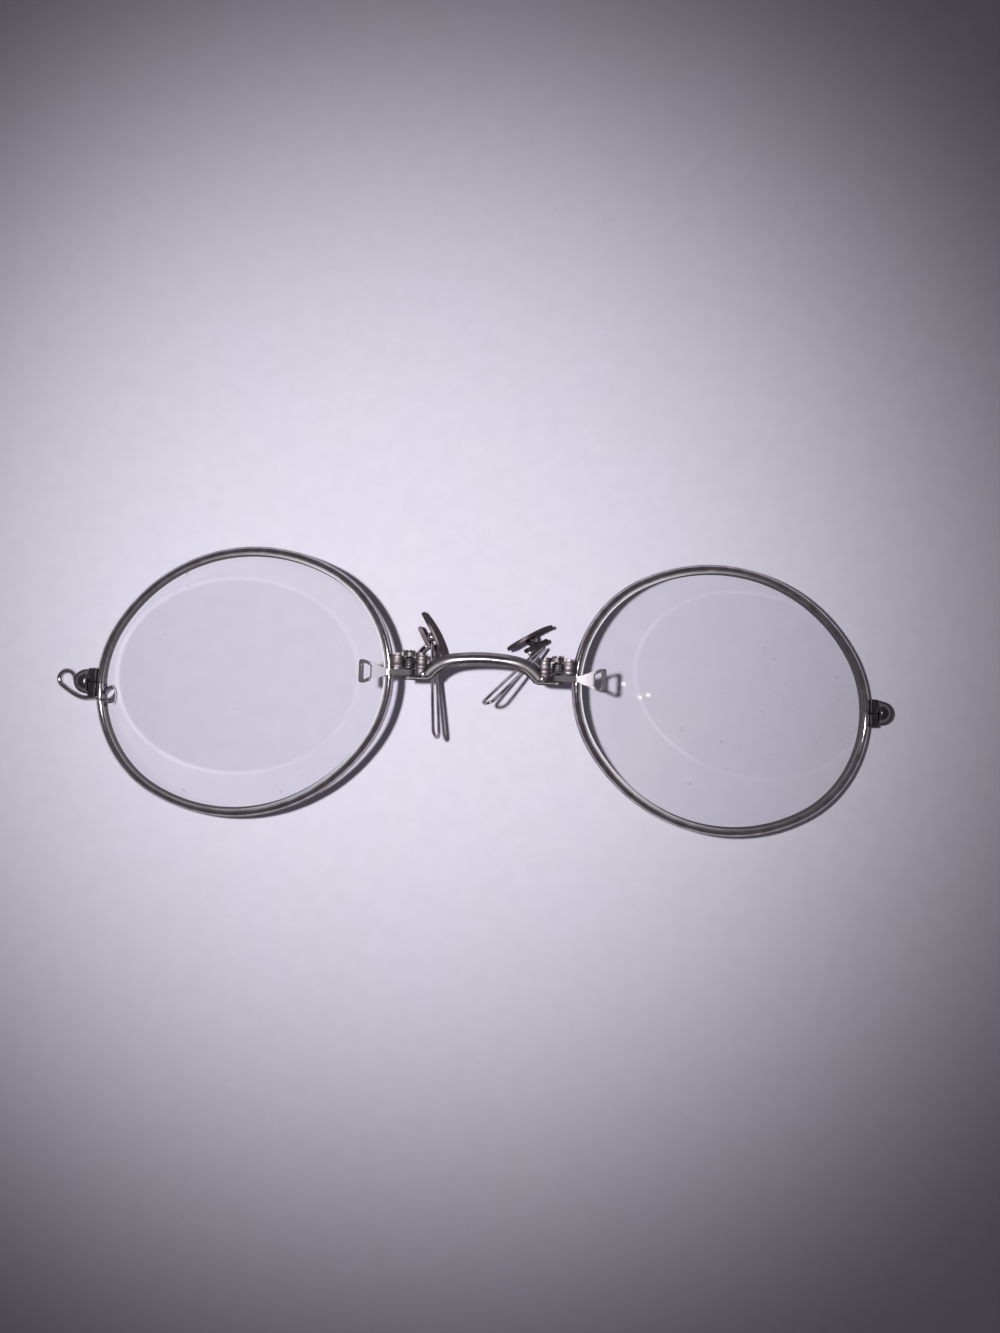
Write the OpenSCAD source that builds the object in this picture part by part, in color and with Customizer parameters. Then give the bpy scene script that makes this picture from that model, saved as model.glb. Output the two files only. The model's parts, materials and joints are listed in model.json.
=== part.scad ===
// Finger-piece pince-nez: oval wire rims with glass lenses, a round arched bridge,
// two sprung finger levers that carry the nose guards, ball ends and a cord hook.
// X runs across the face, Y up the face and Z out of the front. Lengths are in mm.
// The origin lies on the resting plane, midway between the two lens centres.

/* [Rims] */
// Distance between the lens centres, across the face
eye_gap = 61.7; // [58:0.1:66]
// Half the length of the oval, to the middle of the rim wire
oval_a = 20.0; // [19:0.1:21]
// Half the height of the oval, to the middle of the rim wire
oval_b = 16.5; // [15.6:0.1:17.2]
// Radius of the oval's two end arcs
oval_end_r = 14.4; // [13:0.1:14.8]
// How far the outer end of each oval is turned down, in degrees
rim_droop = 15.3; // [8:0.1:20]
// How far each rim slopes back from the bridge to its ball, in degrees
rim_slope = 12; // [9:0.5:13]
// Width of the rim wire, seen from the front
rim_w = 1.0; // [0.9:0.05:1.2]
// Depth of the rim wire, front to back
rim_d = 1.3; // [1.2:0.05:1.5]
// Depth of the lens groove in the rim wire
groove_depth = 0.4; // [0.3:0.02:0.46]
// Gap between the two ends of the rim wire
rim_split = 0.16; // [0.1:0.02:0.3]

/* [Lenses] */
// Thickness of a lens in its middle
lens_thick = 1.9; // [1.8:0.05:2.4]
// Radius of the front surface of a lens
lens_front_r = 90; // [80:1:110]
// Radius of the back surface of a lens
lens_back_r = 140; // [125:1:160]
// Depth of the notch in the left lens that the cord hook passes through
notch_deep = 2.1; // [1.9:0.05:2.4]
// Length of that notch along the edge of the lens
notch_long = 2.9; // [2.6:0.05:3.2]

/* [Ball ends] */
// Radius of the ball at the outer end of each rim
ball_r = 1.6; // [1.5:0.05:1.8]
// Distance from the rim wire to the middle of the ball
ball_out = 2.1; // [2.05:0.05:2.4]
// Angle of the ball above the long axis of the oval
ball_angle = 17.5; // [14:0.5:22]
// Width of the closing block between rim and ball
block_w = 0.9; // [0.85:0.05:1.1]
// Height of the closing block, both halves together
block_h = 3.6; // [3.4:0.1:4.4]
// Depth of the closing block, front to back
block_d = 1.7; // [1.5:0.05:2]
// Diameter of the closing screw
close_screw_d = 0.5; // [0.4:0.05:0.55]
// Diameter of the closing screw's head
close_head_d = 0.76; // [0.7:0.02:0.8]

/* [Bridge] */
// Thickness of the bridge wire
bridge_d = 1.7; // [1.5:0.05:1.8]
// Height of the middle of the bridge wire at its crest
bridge_crest = 4.1; // [4:0.1:4.6]
// Radius of the long crest curve
crest_r = 24; // [18:1:40]
// Radius of each shoulder curve
shoulder_r = 5.2; // [4.6:0.1:5.6]
// Slope of the bridge where it enters its hinge block, in degrees
bridge_fall = 52; // [46:1:56]
// Thickness of the flat foot under each hinge block
foot_t = 0.5; // [0.4:0.05:0.6]
// Width of that foot, front to back
foot_w = 1.5; // [1.4:0.05:1.7]
// Height of the underside of the feet
foot_y = 1.2; // [1.1:0.05:1.4]

/* [Hinges] */
// Distance from the rim wire to the pivot
pivot_out = 2.35; // [2.15:0.05:2.5]
// How far the pivot stands in front of the rim wire
pivot_forward = 0.35; // [0.25:0.05:0.5]
// Diameter of the pivot screw
pivot_d = 0.7; // [0.6:0.05:0.75]
// Diameter of the pivot screw's head
pivot_head_d = 1.5; // [1.4:0.05:1.7]
// Height of the pivot screw's head
pivot_head_h = 0.25; // [0.2:0.05:0.4]
// Height of the space for the spring
spring_room = 1.6; // [1.5:0.05:1.9]
// Thickness of the lug above the spring
lug_t = 0.5; // [0.4:0.05:0.6]
// Radius of the lug round the pivot
lug_r = 0.85; // [0.8:0.02:0.9]
// Depth of the hinge block, front to back
hinge_d = 1.9; // [1.8:0.05:2.2]
// Width of the hinge block's inner body
hinge_body_w = 1.35; // [1.3:0.05:1.6]
// Diameter of the rivet that holds the bridge in the hinge block
rivet_d = 0.4; // [0.36:0.02:0.44]
// Diameter of the rivet's head
rivet_head_d = 0.7; // [0.6:0.05:0.75]
// Thickness of the spring wire
spring_wire = 0.26; // [0.22:0.02:0.28]
// Rise of the spring for each turn
spring_pitch = 0.7; // [0.7:0.02:0.8]
// Radius of the spring, to the middle of its wire
spring_r = 0.6; // [0.56:0.02:0.62]

/* [Finger levers] */
// Radius of the lever's collar
collar_r = 0.8; // [0.75:0.05:0.82]
// Height of the collar
collar_h = 0.72; // [0.65:0.02:0.8]
// Thickness of the lever's arm
arm_t = 0.5; // [0.4:0.05:0.6]
// Height of the lever's arm at its neck
neck_h = 0.72; // [0.65:0.02:0.8]
// Gap between the arm and the rim wire that it crosses
arm_lift = 0.35; // [0.3:0.05:0.5]
// Length of the fan-shaped finger piece
fan_len = 4.1; // [3.8:0.1:4.5]
// Height of the finger piece at its end
fan_h = 2.8; // [2.5:0.1:3.2]
// Thickness of the finger piece
fan_t = 0.36; // [0.3:0.02:0.45]
// Width of the raised border round the finger piece's end
border_w = 0.36; // [0.3:0.02:0.42]
// How far the border stands up
border_up = 0.16; // [0.1:0.02:0.22]
// Angle at which the finger piece stands forward, in degrees
fan_tilt = 45; // [35:1:50]

/* [Guards] */
// Length of a pad plate
pad_len = 6.8; // [6.2:0.1:7.4]
// Width of a pad plate
pad_wid = 5.2; // [4.8:0.1:5.6]
// Thickness of a pad plate
pad_t = 0.4; // [0.35:0.05:0.5]
// Radius to which the pad plate is curved
pad_bow = 16; // [12:1:30]
// Width of the slots in a pad plate
slot_w = 0.6; // [0.5:0.05:0.7]
// Length of the slots in a pad plate
slot_len = 1.9; // [1.6:0.1:2.1]
// Diameter of the pad's pin
pin_d = 0.36; // [0.3:0.02:0.42]
// Distance from the plate's middle to its pin
pin_out = 0.8; // [0.78:0.02:0.9]
// Thickness of each of the two ears on the plate
ear_t = 0.34; // [0.3:0.02:0.4]
// Thickness of the bracket's tongue between the ears
tongue_t = 0.9; // [0.8:0.05:1.1]
// Length of the bracket's bar
bar_len = 3.2; // [2.8:0.1:3.4]
// Thickness of the bracket's bar
bar_t = 0.6; // [0.5:0.05:0.7]
// Length of the wire loop below the pad
loop_len = 13.2; // [12.4:0.2:14.4]
// Thickness of the loop's wire
loop_wire = 0.42; // [0.36:0.02:0.5]
// Half width of the loop at its round end, to the middle of its wire
loop_half = 0.8; // [0.7:0.02:0.9]
// Half width of the loop at its root, to the middle of its wire
loop_root = 0.38; // [0.34:0.02:0.46]
// Thickness of the arm between lever and bracket
guard_arm_d = 0.7; // [0.6:0.05:0.75]

/* [Cord hook] */
// Thickness of the hook's wire
hook_wire = 0.55; // [0.45:0.05:0.6]
// Radius of the outer eye, to the middle of its wire
hook_eye_r = 1.06; // [1:0.02:1.12]
// Radius of the small eye round the rim wire, to the middle of its wire
hook_small_r = 0.84; // [0.8:0.02:0.9]

/* [Clearances] */
// Gap round a turning pin or screw
run_gap = 0.03; // [0.02:0.01:0.05]
// Gap between pieces that are soldered or pressed together
seat_gap = 0.01; // [0.01:0.01:0.03]
// Gap between flat faces that turn on each other
side_gap = 0.04; // [0.03:0.01:0.06]
// Gap between the lens and its groove
lens_gap = 0.03; // [0.02:0.01:0.05]

/* [Hidden] */

$fn = 48;
// Faces round a fine wire that is swept along a path
wire_sides = 10;
// Length that reaches right through any small piece
through = 20;
// How far joined sweeps reach into each other, and how much slimmer the inner one is
lap = 0.1;
lap_slim = 0.005;

// The four-arc oval: two end arcs and two long arcs that meet smoothly
end_x = oval_a - oval_end_r;
long_r = (end_x * end_x + oval_b * oval_b - oval_end_r * oval_end_r) / (2 * (oval_b - oval_end_r));
long_y = long_r - oval_b;
meet = atan2(long_y, end_x);
split_angle = asin(rim_split / 2 / oval_end_r);

// The ball's place in the plane of the rim, then turned down with the oval
ball_arc = oval_end_r + ball_out;
ball_u = end_x + ball_arc * cos(ball_angle);
ball_v = ball_arc * sin(ball_angle);
ball_across = ball_u * cos(rim_droop) + ball_v * sin(rim_droop);

// Lens centres, with the balls resting on the plane Z = 0
eye_x = eye_gap / 2;
eye_z = ball_r + ball_across * sin(rim_slope);

// The innermost point of the rim wire, which carries the hinge block
nasal_across = end_x * cos(rim_droop) + oval_end_r;
nasal_x = eye_x - nasal_across * cos(rim_slope);
nasal_y = end_x * sin(rim_droop);
nasal_z = eye_z + nasal_across * sin(rim_slope);

// Pivot axis and the stack of pieces on it, from the foot up
pivot_x = nasal_x - pivot_out;
pivot_z = nasal_z + pivot_forward;
collar_y = foot_y + foot_t + side_gap;
spring_y = collar_y + collar_h + side_gap;
lug_y = spring_y + spring_room;
head_y = lug_y + lug_t;

// The bridge: crest arc, shoulder arcs and straight ends in the hinge blocks
hinge_in_x = pivot_x - lug_r - hinge_body_w;
crest_turn = asin((hinge_in_x - shoulder_r * sin(bridge_fall)) / (crest_r - shoulder_r));
bridge_end_y = bridge_crest - crest_r * (1 - cos(crest_turn))
    - shoulder_r * (cos(crest_turn) - cos(bridge_fall));
tail_len = 0.75;
tail_d = bridge_d - 0.5;

// The guards: where each pad's middle lies, how it leans out, tips and twists
pad_left_at = [6.35, 7.15];
pad_left_lean = 28;
pad_left_tip = 5.5;
pad_left_twist = 6;
pad_right_at = [5.7, 7.4];
pad_right_lean = 61;
pad_right_tip = 25;
pad_right_twist = 0;
// Directions of each loop from its bracket, outwards and forwards, and its turn, in degrees
loop_left_out = 19;
loop_left_forward = 24;
loop_left_turn = -76;
loop_right_out = 13;
loop_right_forward = 16;
loop_right_turn = -70;
ear_out = tongue_t / 2 + side_gap + ear_t;
// The bracket's bar: its inner face, middle, depth and how far it stands up the guard
bar_in = pin_out + 0.46;
bar_mid = bar_in + bar_t / 2;
bar_d = 1.5;
bar_up = 0.25;
tongue_r = 0.36;

// The hook's outer eye lies on the resting plane beside the left ball
hook_r = hook_wire / 2;
ball_x = eye_x + ball_across * cos(rim_slope);
ball_y = -ball_u * sin(rim_droop) + ball_v * cos(rim_droop);

metal = [0.52, 0.48, 0.46];
dark_metal = [0.42, 0.38, 0.37];
glass = [0.85, 0.9, 0.92, 0.35];

module mirrored(side) {
    mirror([side < 0 ? 1 : 0, 0, 0]) children();
}

// Puts a shape drawn in the oval's own plane into the rim's place
module in_rim() {
    translate([eye_x, 0, eye_z])
        rotate([0, rim_slope, 0])
        rotate([0, 0, -rim_droop])
        children();
}

// Puts a shape at the rim's split: X outwards, Y along the wire
module at_split() {
    translate([end_x, 0, 0])
        rotate([0, 0, ball_angle])
        translate([oval_end_r, 0, 0])
        children();
}

// Turns a profile round part of an arc
module arc_sweep(radius, from, to) {
    rotate([0, 0, from])
        rotate_extrude(angle = to - from, $fn = 180)
        translate([radius, 0])
        children();
}

// Runs a profile round the oval, open at the split. The first child is the profile of
// the long arcs, the second the slimmer one of the end arcs.
module oval_sweep() {
    past = meet + lap / oval_end_r * 180 / PI;
    translate([end_x, 0, 0]) {
        arc_sweep(oval_end_r, -past, ball_angle - split_angle) children(1);
        arc_sweep(oval_end_r, ball_angle + split_angle, past) children(1);
    }
    translate([-end_x, 0, 0])
        arc_sweep(oval_end_r, 180 - past, 180 + past) children(1);
    translate([0, -long_y, 0])
        arc_sweep(long_r, meet, 180 - meet) children(0);
    translate([0, long_y, 0])
        arc_sweep(long_r, 180 + meet, 360 - meet) children(0);
}

function arc_2d(middle, radius, from, to, n) =
    [for (i = [0:n - 1]) let (a = from + (to - from) * i / n) middle + radius * [cos(a), sin(a)]];

// Points round the oval, drawn in or out from the wire's middle line
function oval_outline(out) = concat(
    arc_2d([end_x, 0], oval_end_r + out, -meet, meet, 24),
    arc_2d([0, -long_y], long_r + out, meet, 180 - meet, 20),
    arc_2d([-end_x, 0], oval_end_r + out, 180 - meet, 180 + meet, 24),
    arc_2d([0, long_y], long_r + out, 180 + meet, 360 - meet, 20));

// Rim wire section: flat sides, round front and back
module rim_section(grow) {
    flat = rim_d - rim_w;
    square([rim_w + 2 * grow, flat], center = true);
    for (z = [-1, 1])
        translate([0, z * flat / 2]) circle(rim_w / 2 + grow, $fn = 32);
}

groove_half = rim_d * 0.33;

// The same section with the lens groove cut into its inner side
module grooved_section(slim) {
    difference() {
        rim_section(-slim);
        translate([slim, 0])
            polygon([[-rim_w, -groove_half * (groove_depth + rim_w / 2) / groove_depth],
                [groove_depth - rim_w / 2, 0],
                [-rim_w, groove_half * (groove_depth + rim_w / 2) / groove_depth]]);
    }
}

module rim(side) {
    color(metal)
    mirrored(side)
        in_rim()
        oval_sweep() {
            grooved_section(0);
            grooved_section(lap_slim);
        }
}

// The lens: two ball surfaces and a level edge with a stepped tongue in the rim's groove
lens_edge = rim_w / 2 + 0.06;
tongue_root = 0.4;

module lens_tongue(half) {
    reach = groove_depth - rim_w / 2 - (half + lens_gap) * groove_depth / groove_half;
    linear_extrude(2 * half, center = true)
        difference() {
            polygon(oval_outline(reach));
            polygon(oval_outline(-lens_edge - tongue_root));
        }
}

// Half of the lens's section, to be turned about its middle
module lens_section() {
    edge_at = (oval_a + oval_b) / 2;
    front_rise = lens_front_r - sqrt(pow(lens_front_r, 2) - pow(edge_at, 2));
    back_rise = lens_back_r - sqrt(pow(lens_back_r, 2) - pow(edge_at, 2));
    middle = (front_rise + back_rise) / 2;
    difference() {
        intersection() {
            translate([0, -through / 2]) square([oval_a + 1, through]);
            translate([0, middle + lens_thick / 2 - lens_front_r]) circle(lens_front_r, $fn = 360);
        }
        translate([0, middle - lens_thick / 2 - lens_back_r]) circle(lens_back_r, $fn = 360);
    }
}

module lens(side) {
    color(glass)
    mirrored(side)
        in_rim()
        difference() {
            union() {
                intersection() {
                    rotate_extrude($fn = 180) lens_section();
                    linear_extrude(through, center = true) polygon(oval_outline(-lens_edge));
                }
                lens_tongue(groove_half * 0.7);
                lens_tongue(groove_half * 0.35);
            }
            if (side < 0) hook_notch();
        }
}

// Where the hook's small eye goes round the left rim wire, below the closing block
hook_turn = ball_angle - 6.6;

module hook_notch() {
    translate([end_x, 0, 0])
        rotate([0, 0, hook_turn])
        translate([oval_end_r - rim_w / 2, 0, 0])
        intersection() {
            cube([2 * notch_deep, notch_long, through], center = true);
            cylinder(h = through, r = notch_deep, center = true);
        }
}

// Closing blocks: two halves on the ends of the rim wire, one above the other
block_in = rim_w / 2 - 0.2;
block_mid = rim_w / 2 + block_w / 2;

module block_half(up) {
    height = (block_h - rim_split) / 2;
    difference() {
        translate([block_in, up * (rim_split + height) / 2 - height / 2, -block_d / 2])
            cube([block_w + 0.2 - (up < 0 ? 0.05 : 0), height, block_d]);
        translate([-oval_end_r, 0, 0])
            arc_sweep(oval_end_r, -12, 12) rim_section(seat_gap);
        translate([block_mid, 0, 0])
            rotate([90, 0, 0])
            cylinder(h = through, d = close_screw_d + 2 * (up > 0 ? run_gap : seat_gap),
                center = true, $fn = 32);
        if (up > 0)
            translate([block_mid, block_h / 2 - 0.22, 0])
                rotate([-90, 0, 0])
                cylinder(h = 1, d = close_head_d + 2 * run_gap, $fn = 32);
    }
}

module closing_block(side, up) {
    color(dark_metal)
    mirrored(side) in_rim() at_split() block_half(up);
}

module closing_screw(side) {
    color(metal)
    mirrored(side) in_rim() at_split()
        translate([block_mid, 0, 0])
        rotate([-90, 0, 0])
        difference() {
            union() {
                translate([0, 0, -block_h / 2]) cylinder(h = block_h - 0.1, d = close_screw_d, $fn = 32);
                translate([0, 0, block_h / 2 - 0.2]) cylinder(h = 0.26, d = close_head_d, $fn = 32);
            }
            translate([-1, -0.06, block_h / 2 - 0.04]) cube([2, 0.12, 1]);
        }
}

// A ball with a flat where it is soldered to the closing block
module ball_end(side) {
    flat = ball_out - rim_w / 2 - block_w - seat_gap;
    color(dark_metal)
    mirrored(side) in_rim() at_split()
        translate([ball_out, 0, 0])
        rotate([0, 90, 0])
        rotate_extrude($fn = 64)
        intersection() {
            circle(ball_r, $fn = 64);
            translate([0, -flat]) square([ball_r + 1, ball_r + flat + 1]);
        }
}

// Bridge, drawn in the X-Y plane at the depth of the pivots
shoulder_at = [(crest_r - shoulder_r) * sin(crest_turn),
    bridge_crest - crest_r + (crest_r - shoulder_r) * cos(crest_turn)];

module shoulder(thick, from, to) {
    translate([shoulder_at.x, shoulder_at.y, 0])
        arc_sweep(shoulder_r, from, to) circle(d = thick, $fn = 40);
}

// The straight end of the wire inside the hinge block, cut level with the foot
module bridge_tail(gap, back) {
    intersection() {
        translate([hinge_in_x, bridge_end_y, 0])
            rotate([0, 0, -bridge_fall])
            rotate([0, 90, 0])
            translate([0, 0, -back])
            cylinder(h = tail_len + back + gap, d = tail_d + 2 * gap, $fn = 40);
        translate([0, foot_y, -through / 2]) cube(through);
    }
}

// The foot: a flat strap that grows out of the shoulder's underside, bends level and lies
// under the hinge's stack
foot_bend_r = 1.0;
foot_top = 74;
foot_proud = 0.03;
strap_in = shoulder_r - bridge_d / 2;
foot_turn = asin((foot_y + foot_t / 2 - shoulder_at.y + foot_bend_r) / (strap_in + foot_t / 2 + foot_bend_r));

module bridge_foot() {
    bend = [shoulder_at.x + (strap_in + foot_t / 2 + foot_bend_r) * cos(foot_turn),
        foot_y + foot_t / 2 + foot_bend_r];
    steps = 10;
    along = [for (i = [0:steps]) foot_top + (foot_turn - foot_top) * i / steps];
    below = [for (i = [0:steps]) shoulder_at
        + (strap_in + foot_t - (foot_t + foot_proud) * i / steps) * [cos(along[i]), sin(along[i])]];
    above = [for (i = [0:steps]) shoulder_at
        + (strap_in + foot_t + foot_proud * (1 - i / steps)) * [cos(along[i]), sin(along[i])]];
    difference() {
        union() {
            linear_extrude(foot_w, center = true)
                polygon(concat(below, arc_2d(bend, foot_bend_r + foot_t / 2, 184 + foot_turn, 270, 8),
                    [[bend.x, foot_y], [pivot_x, foot_y], [pivot_x, foot_y + foot_t], [bend.x, foot_y + foot_t]],
                    arc_2d(bend, foot_bend_r - foot_t / 2, 268, 180 + foot_turn, 8),
                    [for (i = [0:steps]) above[steps - i]]));
            translate([pivot_x, foot_y, 0]) rotate([-90, 0, 0]) cylinder(h = foot_t, d = foot_w);
        }
        translate([pivot_x, 0, 0])
            rotate([90, 0, 0])
            cylinder(h = through, d = pivot_d + 2 * seat_gap, center = true);
    }
}

// The rivet stands where the bridge's straight end lies inside the block
rivet_along = 0.17;
rivet_up = 0.34;
rivet_x = hinge_in_x + rivet_along * cos(bridge_fall) + rivet_up * sin(bridge_fall);
rivet_y = bridge_end_y - rivet_along * sin(bridge_fall) + rivet_up * cos(bridge_fall);
rivet_head_t = 0.2;

module rivet_hole(gap) {
    translate([rivet_x, rivet_y, 0])
        cylinder(h = through, d = rivet_d + 2 * gap, center = true, $fn = 24);
}

module bridge() {
    color(metal)
    translate([0, 0, pivot_z])
        difference() {
            union() {
                translate([0, bridge_crest - crest_r, 0])
                    arc_sweep(crest_r, 90 - crest_turn, 90 + crest_turn) circle(d = bridge_d, $fn = 40);
                for (side = [-1, 1])
                    mirrored(side) {
                        shoulder(bridge_d - 2 * lap_slim, 90 - bridge_fall,
                            90 - crest_turn + lap / shoulder_r * 180 / PI);
                        bridge_tail(0, 0.2);
                        bridge_foot();
                    }
            }
            for (side = [-1, 1]) mirrored(side) rivet_hole(seat_gap);
        }
}

module bridge_rivet(side) {
    color(metal)
    mirrored(side)
        translate([rivet_x, rivet_y, pivot_z]) {
            cylinder(h = hinge_d, d = rivet_d, center = true, $fn = 24);
            translate([0, 0, hinge_d / 2])
                cylinder(h = rivet_head_t, d1 = rivet_head_d, d2 = rivet_head_d * 0.6, $fn = 24);
        }
}

// Hinge block: an inner body, a lug over the spring and a web that meets the rim
module hinge_block(side) {
    body_y = foot_y + foot_t + seat_gap;
    web_x = pivot_x + lug_r - 0.1;
    web_y = collar_y + collar_h + 0.25;
    color(dark_metal)
    mirrored(side)
        difference() {
            translate([0, 0, pivot_z]) {
                linear_extrude(hinge_d, center = true) {
                    translate([hinge_in_x, body_y])
                        square([hinge_body_w - 0.05, lug_y - 0.2 - body_y]);
                    translate([hinge_in_x + 0.45, lug_y - 0.2]) circle(0.45);
                    translate([hinge_in_x + 0.45, lug_y - 0.3])
                        square([hinge_body_w - 0.5, head_y - lug_y + 0.3]);
                }
                translate([hinge_in_x + 0.7, lug_y, -hinge_d / 2])
                    cube([pivot_x - hinge_in_x - 0.7, lug_t, hinge_d]);
                translate([pivot_x, lug_y, 0])
                    rotate([-90, 0, 0])
                    cylinder(h = lug_t, r = lug_r);
                linear_extrude(hinge_d - 0.3, center = true)
                    hinge_web(web_x, web_y);
            }
            in_rim()
                translate([-end_x, 0, 0])
                arc_sweep(oval_end_r, 180 - meet, 180 + meet)
                rim_section(seat_gap);
            translate([pivot_x, 0, pivot_z])
                rotate([90, 0, 0])
                cylinder(h = through, d = pivot_d + 2 * run_gap, center = true);
            translate([0, 0, pivot_z]) {
                bridge_tail(seat_gap, 1);
                rivet_hole(seat_gap);
                shoulder(bridge_d + 2 * seat_gap, 90 - bridge_fall - 0.2, 90 - crest_turn);
            }
        }
}

// The web curves from the lug down to the rim
module hinge_web(x, y) {
    reach = nasal_x - x;
    height = head_y - y;
    intersection() {
        translate([x, y]) square([reach, height]);
        translate([x, y]) circle(height);
    }
    translate([pivot_x, lug_y]) square([x - pivot_x + 0.2, lug_t]);
}

module pivot_screw(side) {
    color(metal)
    mirrored(side)
        translate([pivot_x, 0, pivot_z])
        rotate([-90, 0, 0])
        difference() {
            union() {
                translate([0, 0, foot_y]) cylinder(h = head_y - foot_y + 0.1, d = pivot_d);
                translate([0, 0, head_y + seat_gap]) cylinder(h = pivot_head_h, d = pivot_head_d);
            }
            translate([-1, -0.1, head_y + pivot_head_h - 0.12]) cube([2, 0.2, 1]);
        }
}

// Points along the spring: a straight leg, the turns and a straight leg
spring_rise = spring_room - spring_wire - 0.12;
spring_turns = spring_rise / spring_pitch;
rings_a_turn = 8;
spring_steps = ceil(spring_turns * rings_a_turn);

function spring_point(t) =
    let (a = 360 * spring_turns * t + 30)
    [spring_r * sin(a), spring_wire / 2 + 0.06 + spring_rise * t, spring_r * cos(a)];

function spring_path() =
    let (turns = [for (i = [0:spring_steps]) spring_point(i / spring_steps)],
        first = unit(turns[0] - turns[1]) * spring_wire,
        last = unit(turns[spring_steps] - turns[spring_steps - 1]) * spring_wire)
    concat([turns[0] + [first.x, 0, first.z]], turns, [turns[spring_steps] + [last.x, 0, last.z]]);

function unit(v) = v / norm(v);
function across(v, along) = unit(v - (v * along) * along);

// Sweeps a round wire along a path; the guide is a direction the path never takes
module wire(path, diameter, sides, guide) {
    last = len(path) - 1;
    ways = [for (i = [0:last]) unit(path[min(i + 1, last)] - path[max(i - 1, 0)])];
    rings = [for (i = [0:last])
        let (n = across(guide, ways[i]), b = cross(ways[i], n))
        for (k = [0:sides - 1])
            path[i] + diameter / 2 * (cos(360 * k / sides) * n + sin(360 * k / sides) * b)];
    walls = [for (i = [0:last - 1]) for (k = [0:sides - 1])
        let (a = i * sides + k, b = i * sides + (k + 1) % sides)
        each [[a, a + sides, b], [b, a + sides, b + sides]]];
    start_cap = [for (k = [1:sides - 2]) [0, k, k + 1]];
    end_cap = [for (k = [1:sides - 2]) [last * sides, last * sides + k + 1, last * sides + k]];
    polyhedron(points = rings, faces = concat(walls, start_cap, end_cap), convexity = 6);
}

// Least distance between turns of the spring, less its wire
spring_gap = min([for (i = [0:spring_steps]) for (j = [i + 4:spring_steps])
    norm(spring_point(i / spring_steps) - spring_point(j / spring_steps))]) - spring_wire;
echo(least_gap_of_spring_to_itself = spring_gap);

module lever_spring(side) {
    color(metal)
    mirrored(side)
        translate([pivot_x, spring_y, pivot_z])
        wire(spring_path(), spring_wire, 6, [0, 1, 0]);
}

// Finger lever, drawn about the pivot with X outwards and Z forwards
arm_low = rim_d / 2 - pivot_forward + arm_lift;
arm_reach = pivot_out + 0.25;

module finger_lever(side) {
    mid = collar_h / 2;
    color(metal)
    mirrored(side)
        translate([pivot_x, collar_y, pivot_z]) {
            difference() {
                union() {
                    rotate([-90, 0, 0]) cylinder(h = collar_h, r = collar_r);
                    lever_arm(mid);
                }
                rotate([90, 0, 0])
                    cylinder(h = through, d = pivot_d + 2 * run_gap, center = true);
            }
            translate([arm_reach, mid, arm_low + arm_t / 2])
                rotate([0, -fan_tilt, 0])
                finger_piece();
        }
}

// A bent strap that clears the rim wire, narrower towards its neck
module lever_arm(mid) {
    intersection() {
        translate([0, collar_h, 0])
            rotate([90, 0, 0])
            linear_extrude(collar_h)
            polygon([[0, -0.1], [0.55, -0.1], [arm_reach - 1.2, arm_low], [arm_reach + 0.1, arm_low],
                [arm_reach, arm_low + arm_t], [arm_reach - 1.3, arm_low + arm_t], [0, 0.75]]);
        linear_extrude(2 * through, center = true)
            polygon([[-1, mid - collar_h / 2], [arm_reach - 0.8, mid - collar_h / 2],
                [arm_reach + 0.2, mid - neck_h / 2 + 0.06], [arm_reach + 0.2, mid + neck_h / 2 - 0.06],
                [arm_reach - 0.8, mid + collar_h / 2], [-1, mid + collar_h / 2]]);
    }
}

fan_corner = 0.35;

// Outline of the finger piece: a flaring neck and a rounded end
module fan_outline(inset) {
    end = fan_len - inset;
    half = fan_h / 2 - inset;
    corner = fan_corner;
    start = inset > 0 ? fan_len * 0.58 : -0.15;
    start_half = inset > 0 ? half * 0.62 : neck_h / 2 - 0.06;
    polygon([[start, -start_half], [end - corner * 1.2, -half], [end - corner, -half],
        [end, corner - half], [end, half - corner], [end - corner, half],
        [end - corner * 1.2, half], [start, start_half]]);
    for (side = [-1, 1])
        translate([end - corner, side * (half - corner)]) circle(corner, $fn = 24);
}

module finger_piece() {
    translate([0, 0, -fan_t / 2])
        difference() {
            union() {
                linear_extrude(fan_t) fan_outline(0);
                linear_extrude(fan_t + border_up)
                    intersection() {
                        fan_outline(0);
                        translate([fan_len * 0.45, -fan_h]) square([fan_len, 2 * fan_h]);
                    }
            }
            translate([0, 0, -1]) linear_extrude(4) fan_outline(border_w);
        }
}

// Guards: each is drawn about its pad's middle, X outwards, Y up the pad, Z forwards
function of_side(side, left, right) = side < 0 ? left : right;
function guard_lean(side) = of_side(side, pad_left_lean, pad_right_lean);
function guard_tip(side) = of_side(side, pad_left_tip, pad_right_tip);
function guard_twist(side) = of_side(side, pad_left_twist, pad_right_twist);

// How far the plate reaches below its middle once it tips and twists
function pad_drop(tip, twist) = (pad_len - pad_wid) / 2 * sin(tip)
    + pad_wid / 2 * norm([sin(tip), cos(tip) * cos(twist)])
    + (pad_t / 2 + pow(pad_len / 2, 2) / (2 * pad_bow)) * cos(tip) * sin(twist);

function guard_at(side) = let (at = of_side(side, pad_left_at, pad_right_at))
    [at.x, at.y, pad_drop(guard_tip(side), guard_twist(side))];

module in_guard(side) {
    mirrored(side)
        translate(guard_at(side))
        rotate([0, 0, -guard_lean(side)])
        rotate([-guard_tip(side), 0, 0])
        rotate([0, guard_twist(side), 0])
        children();
}

// The same turns for a point, for the arm that reaches the bracket
function turn_2d(x, y, a) = [cos(a) * x - sin(a) * y, sin(a) * x + cos(a) * y];

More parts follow.
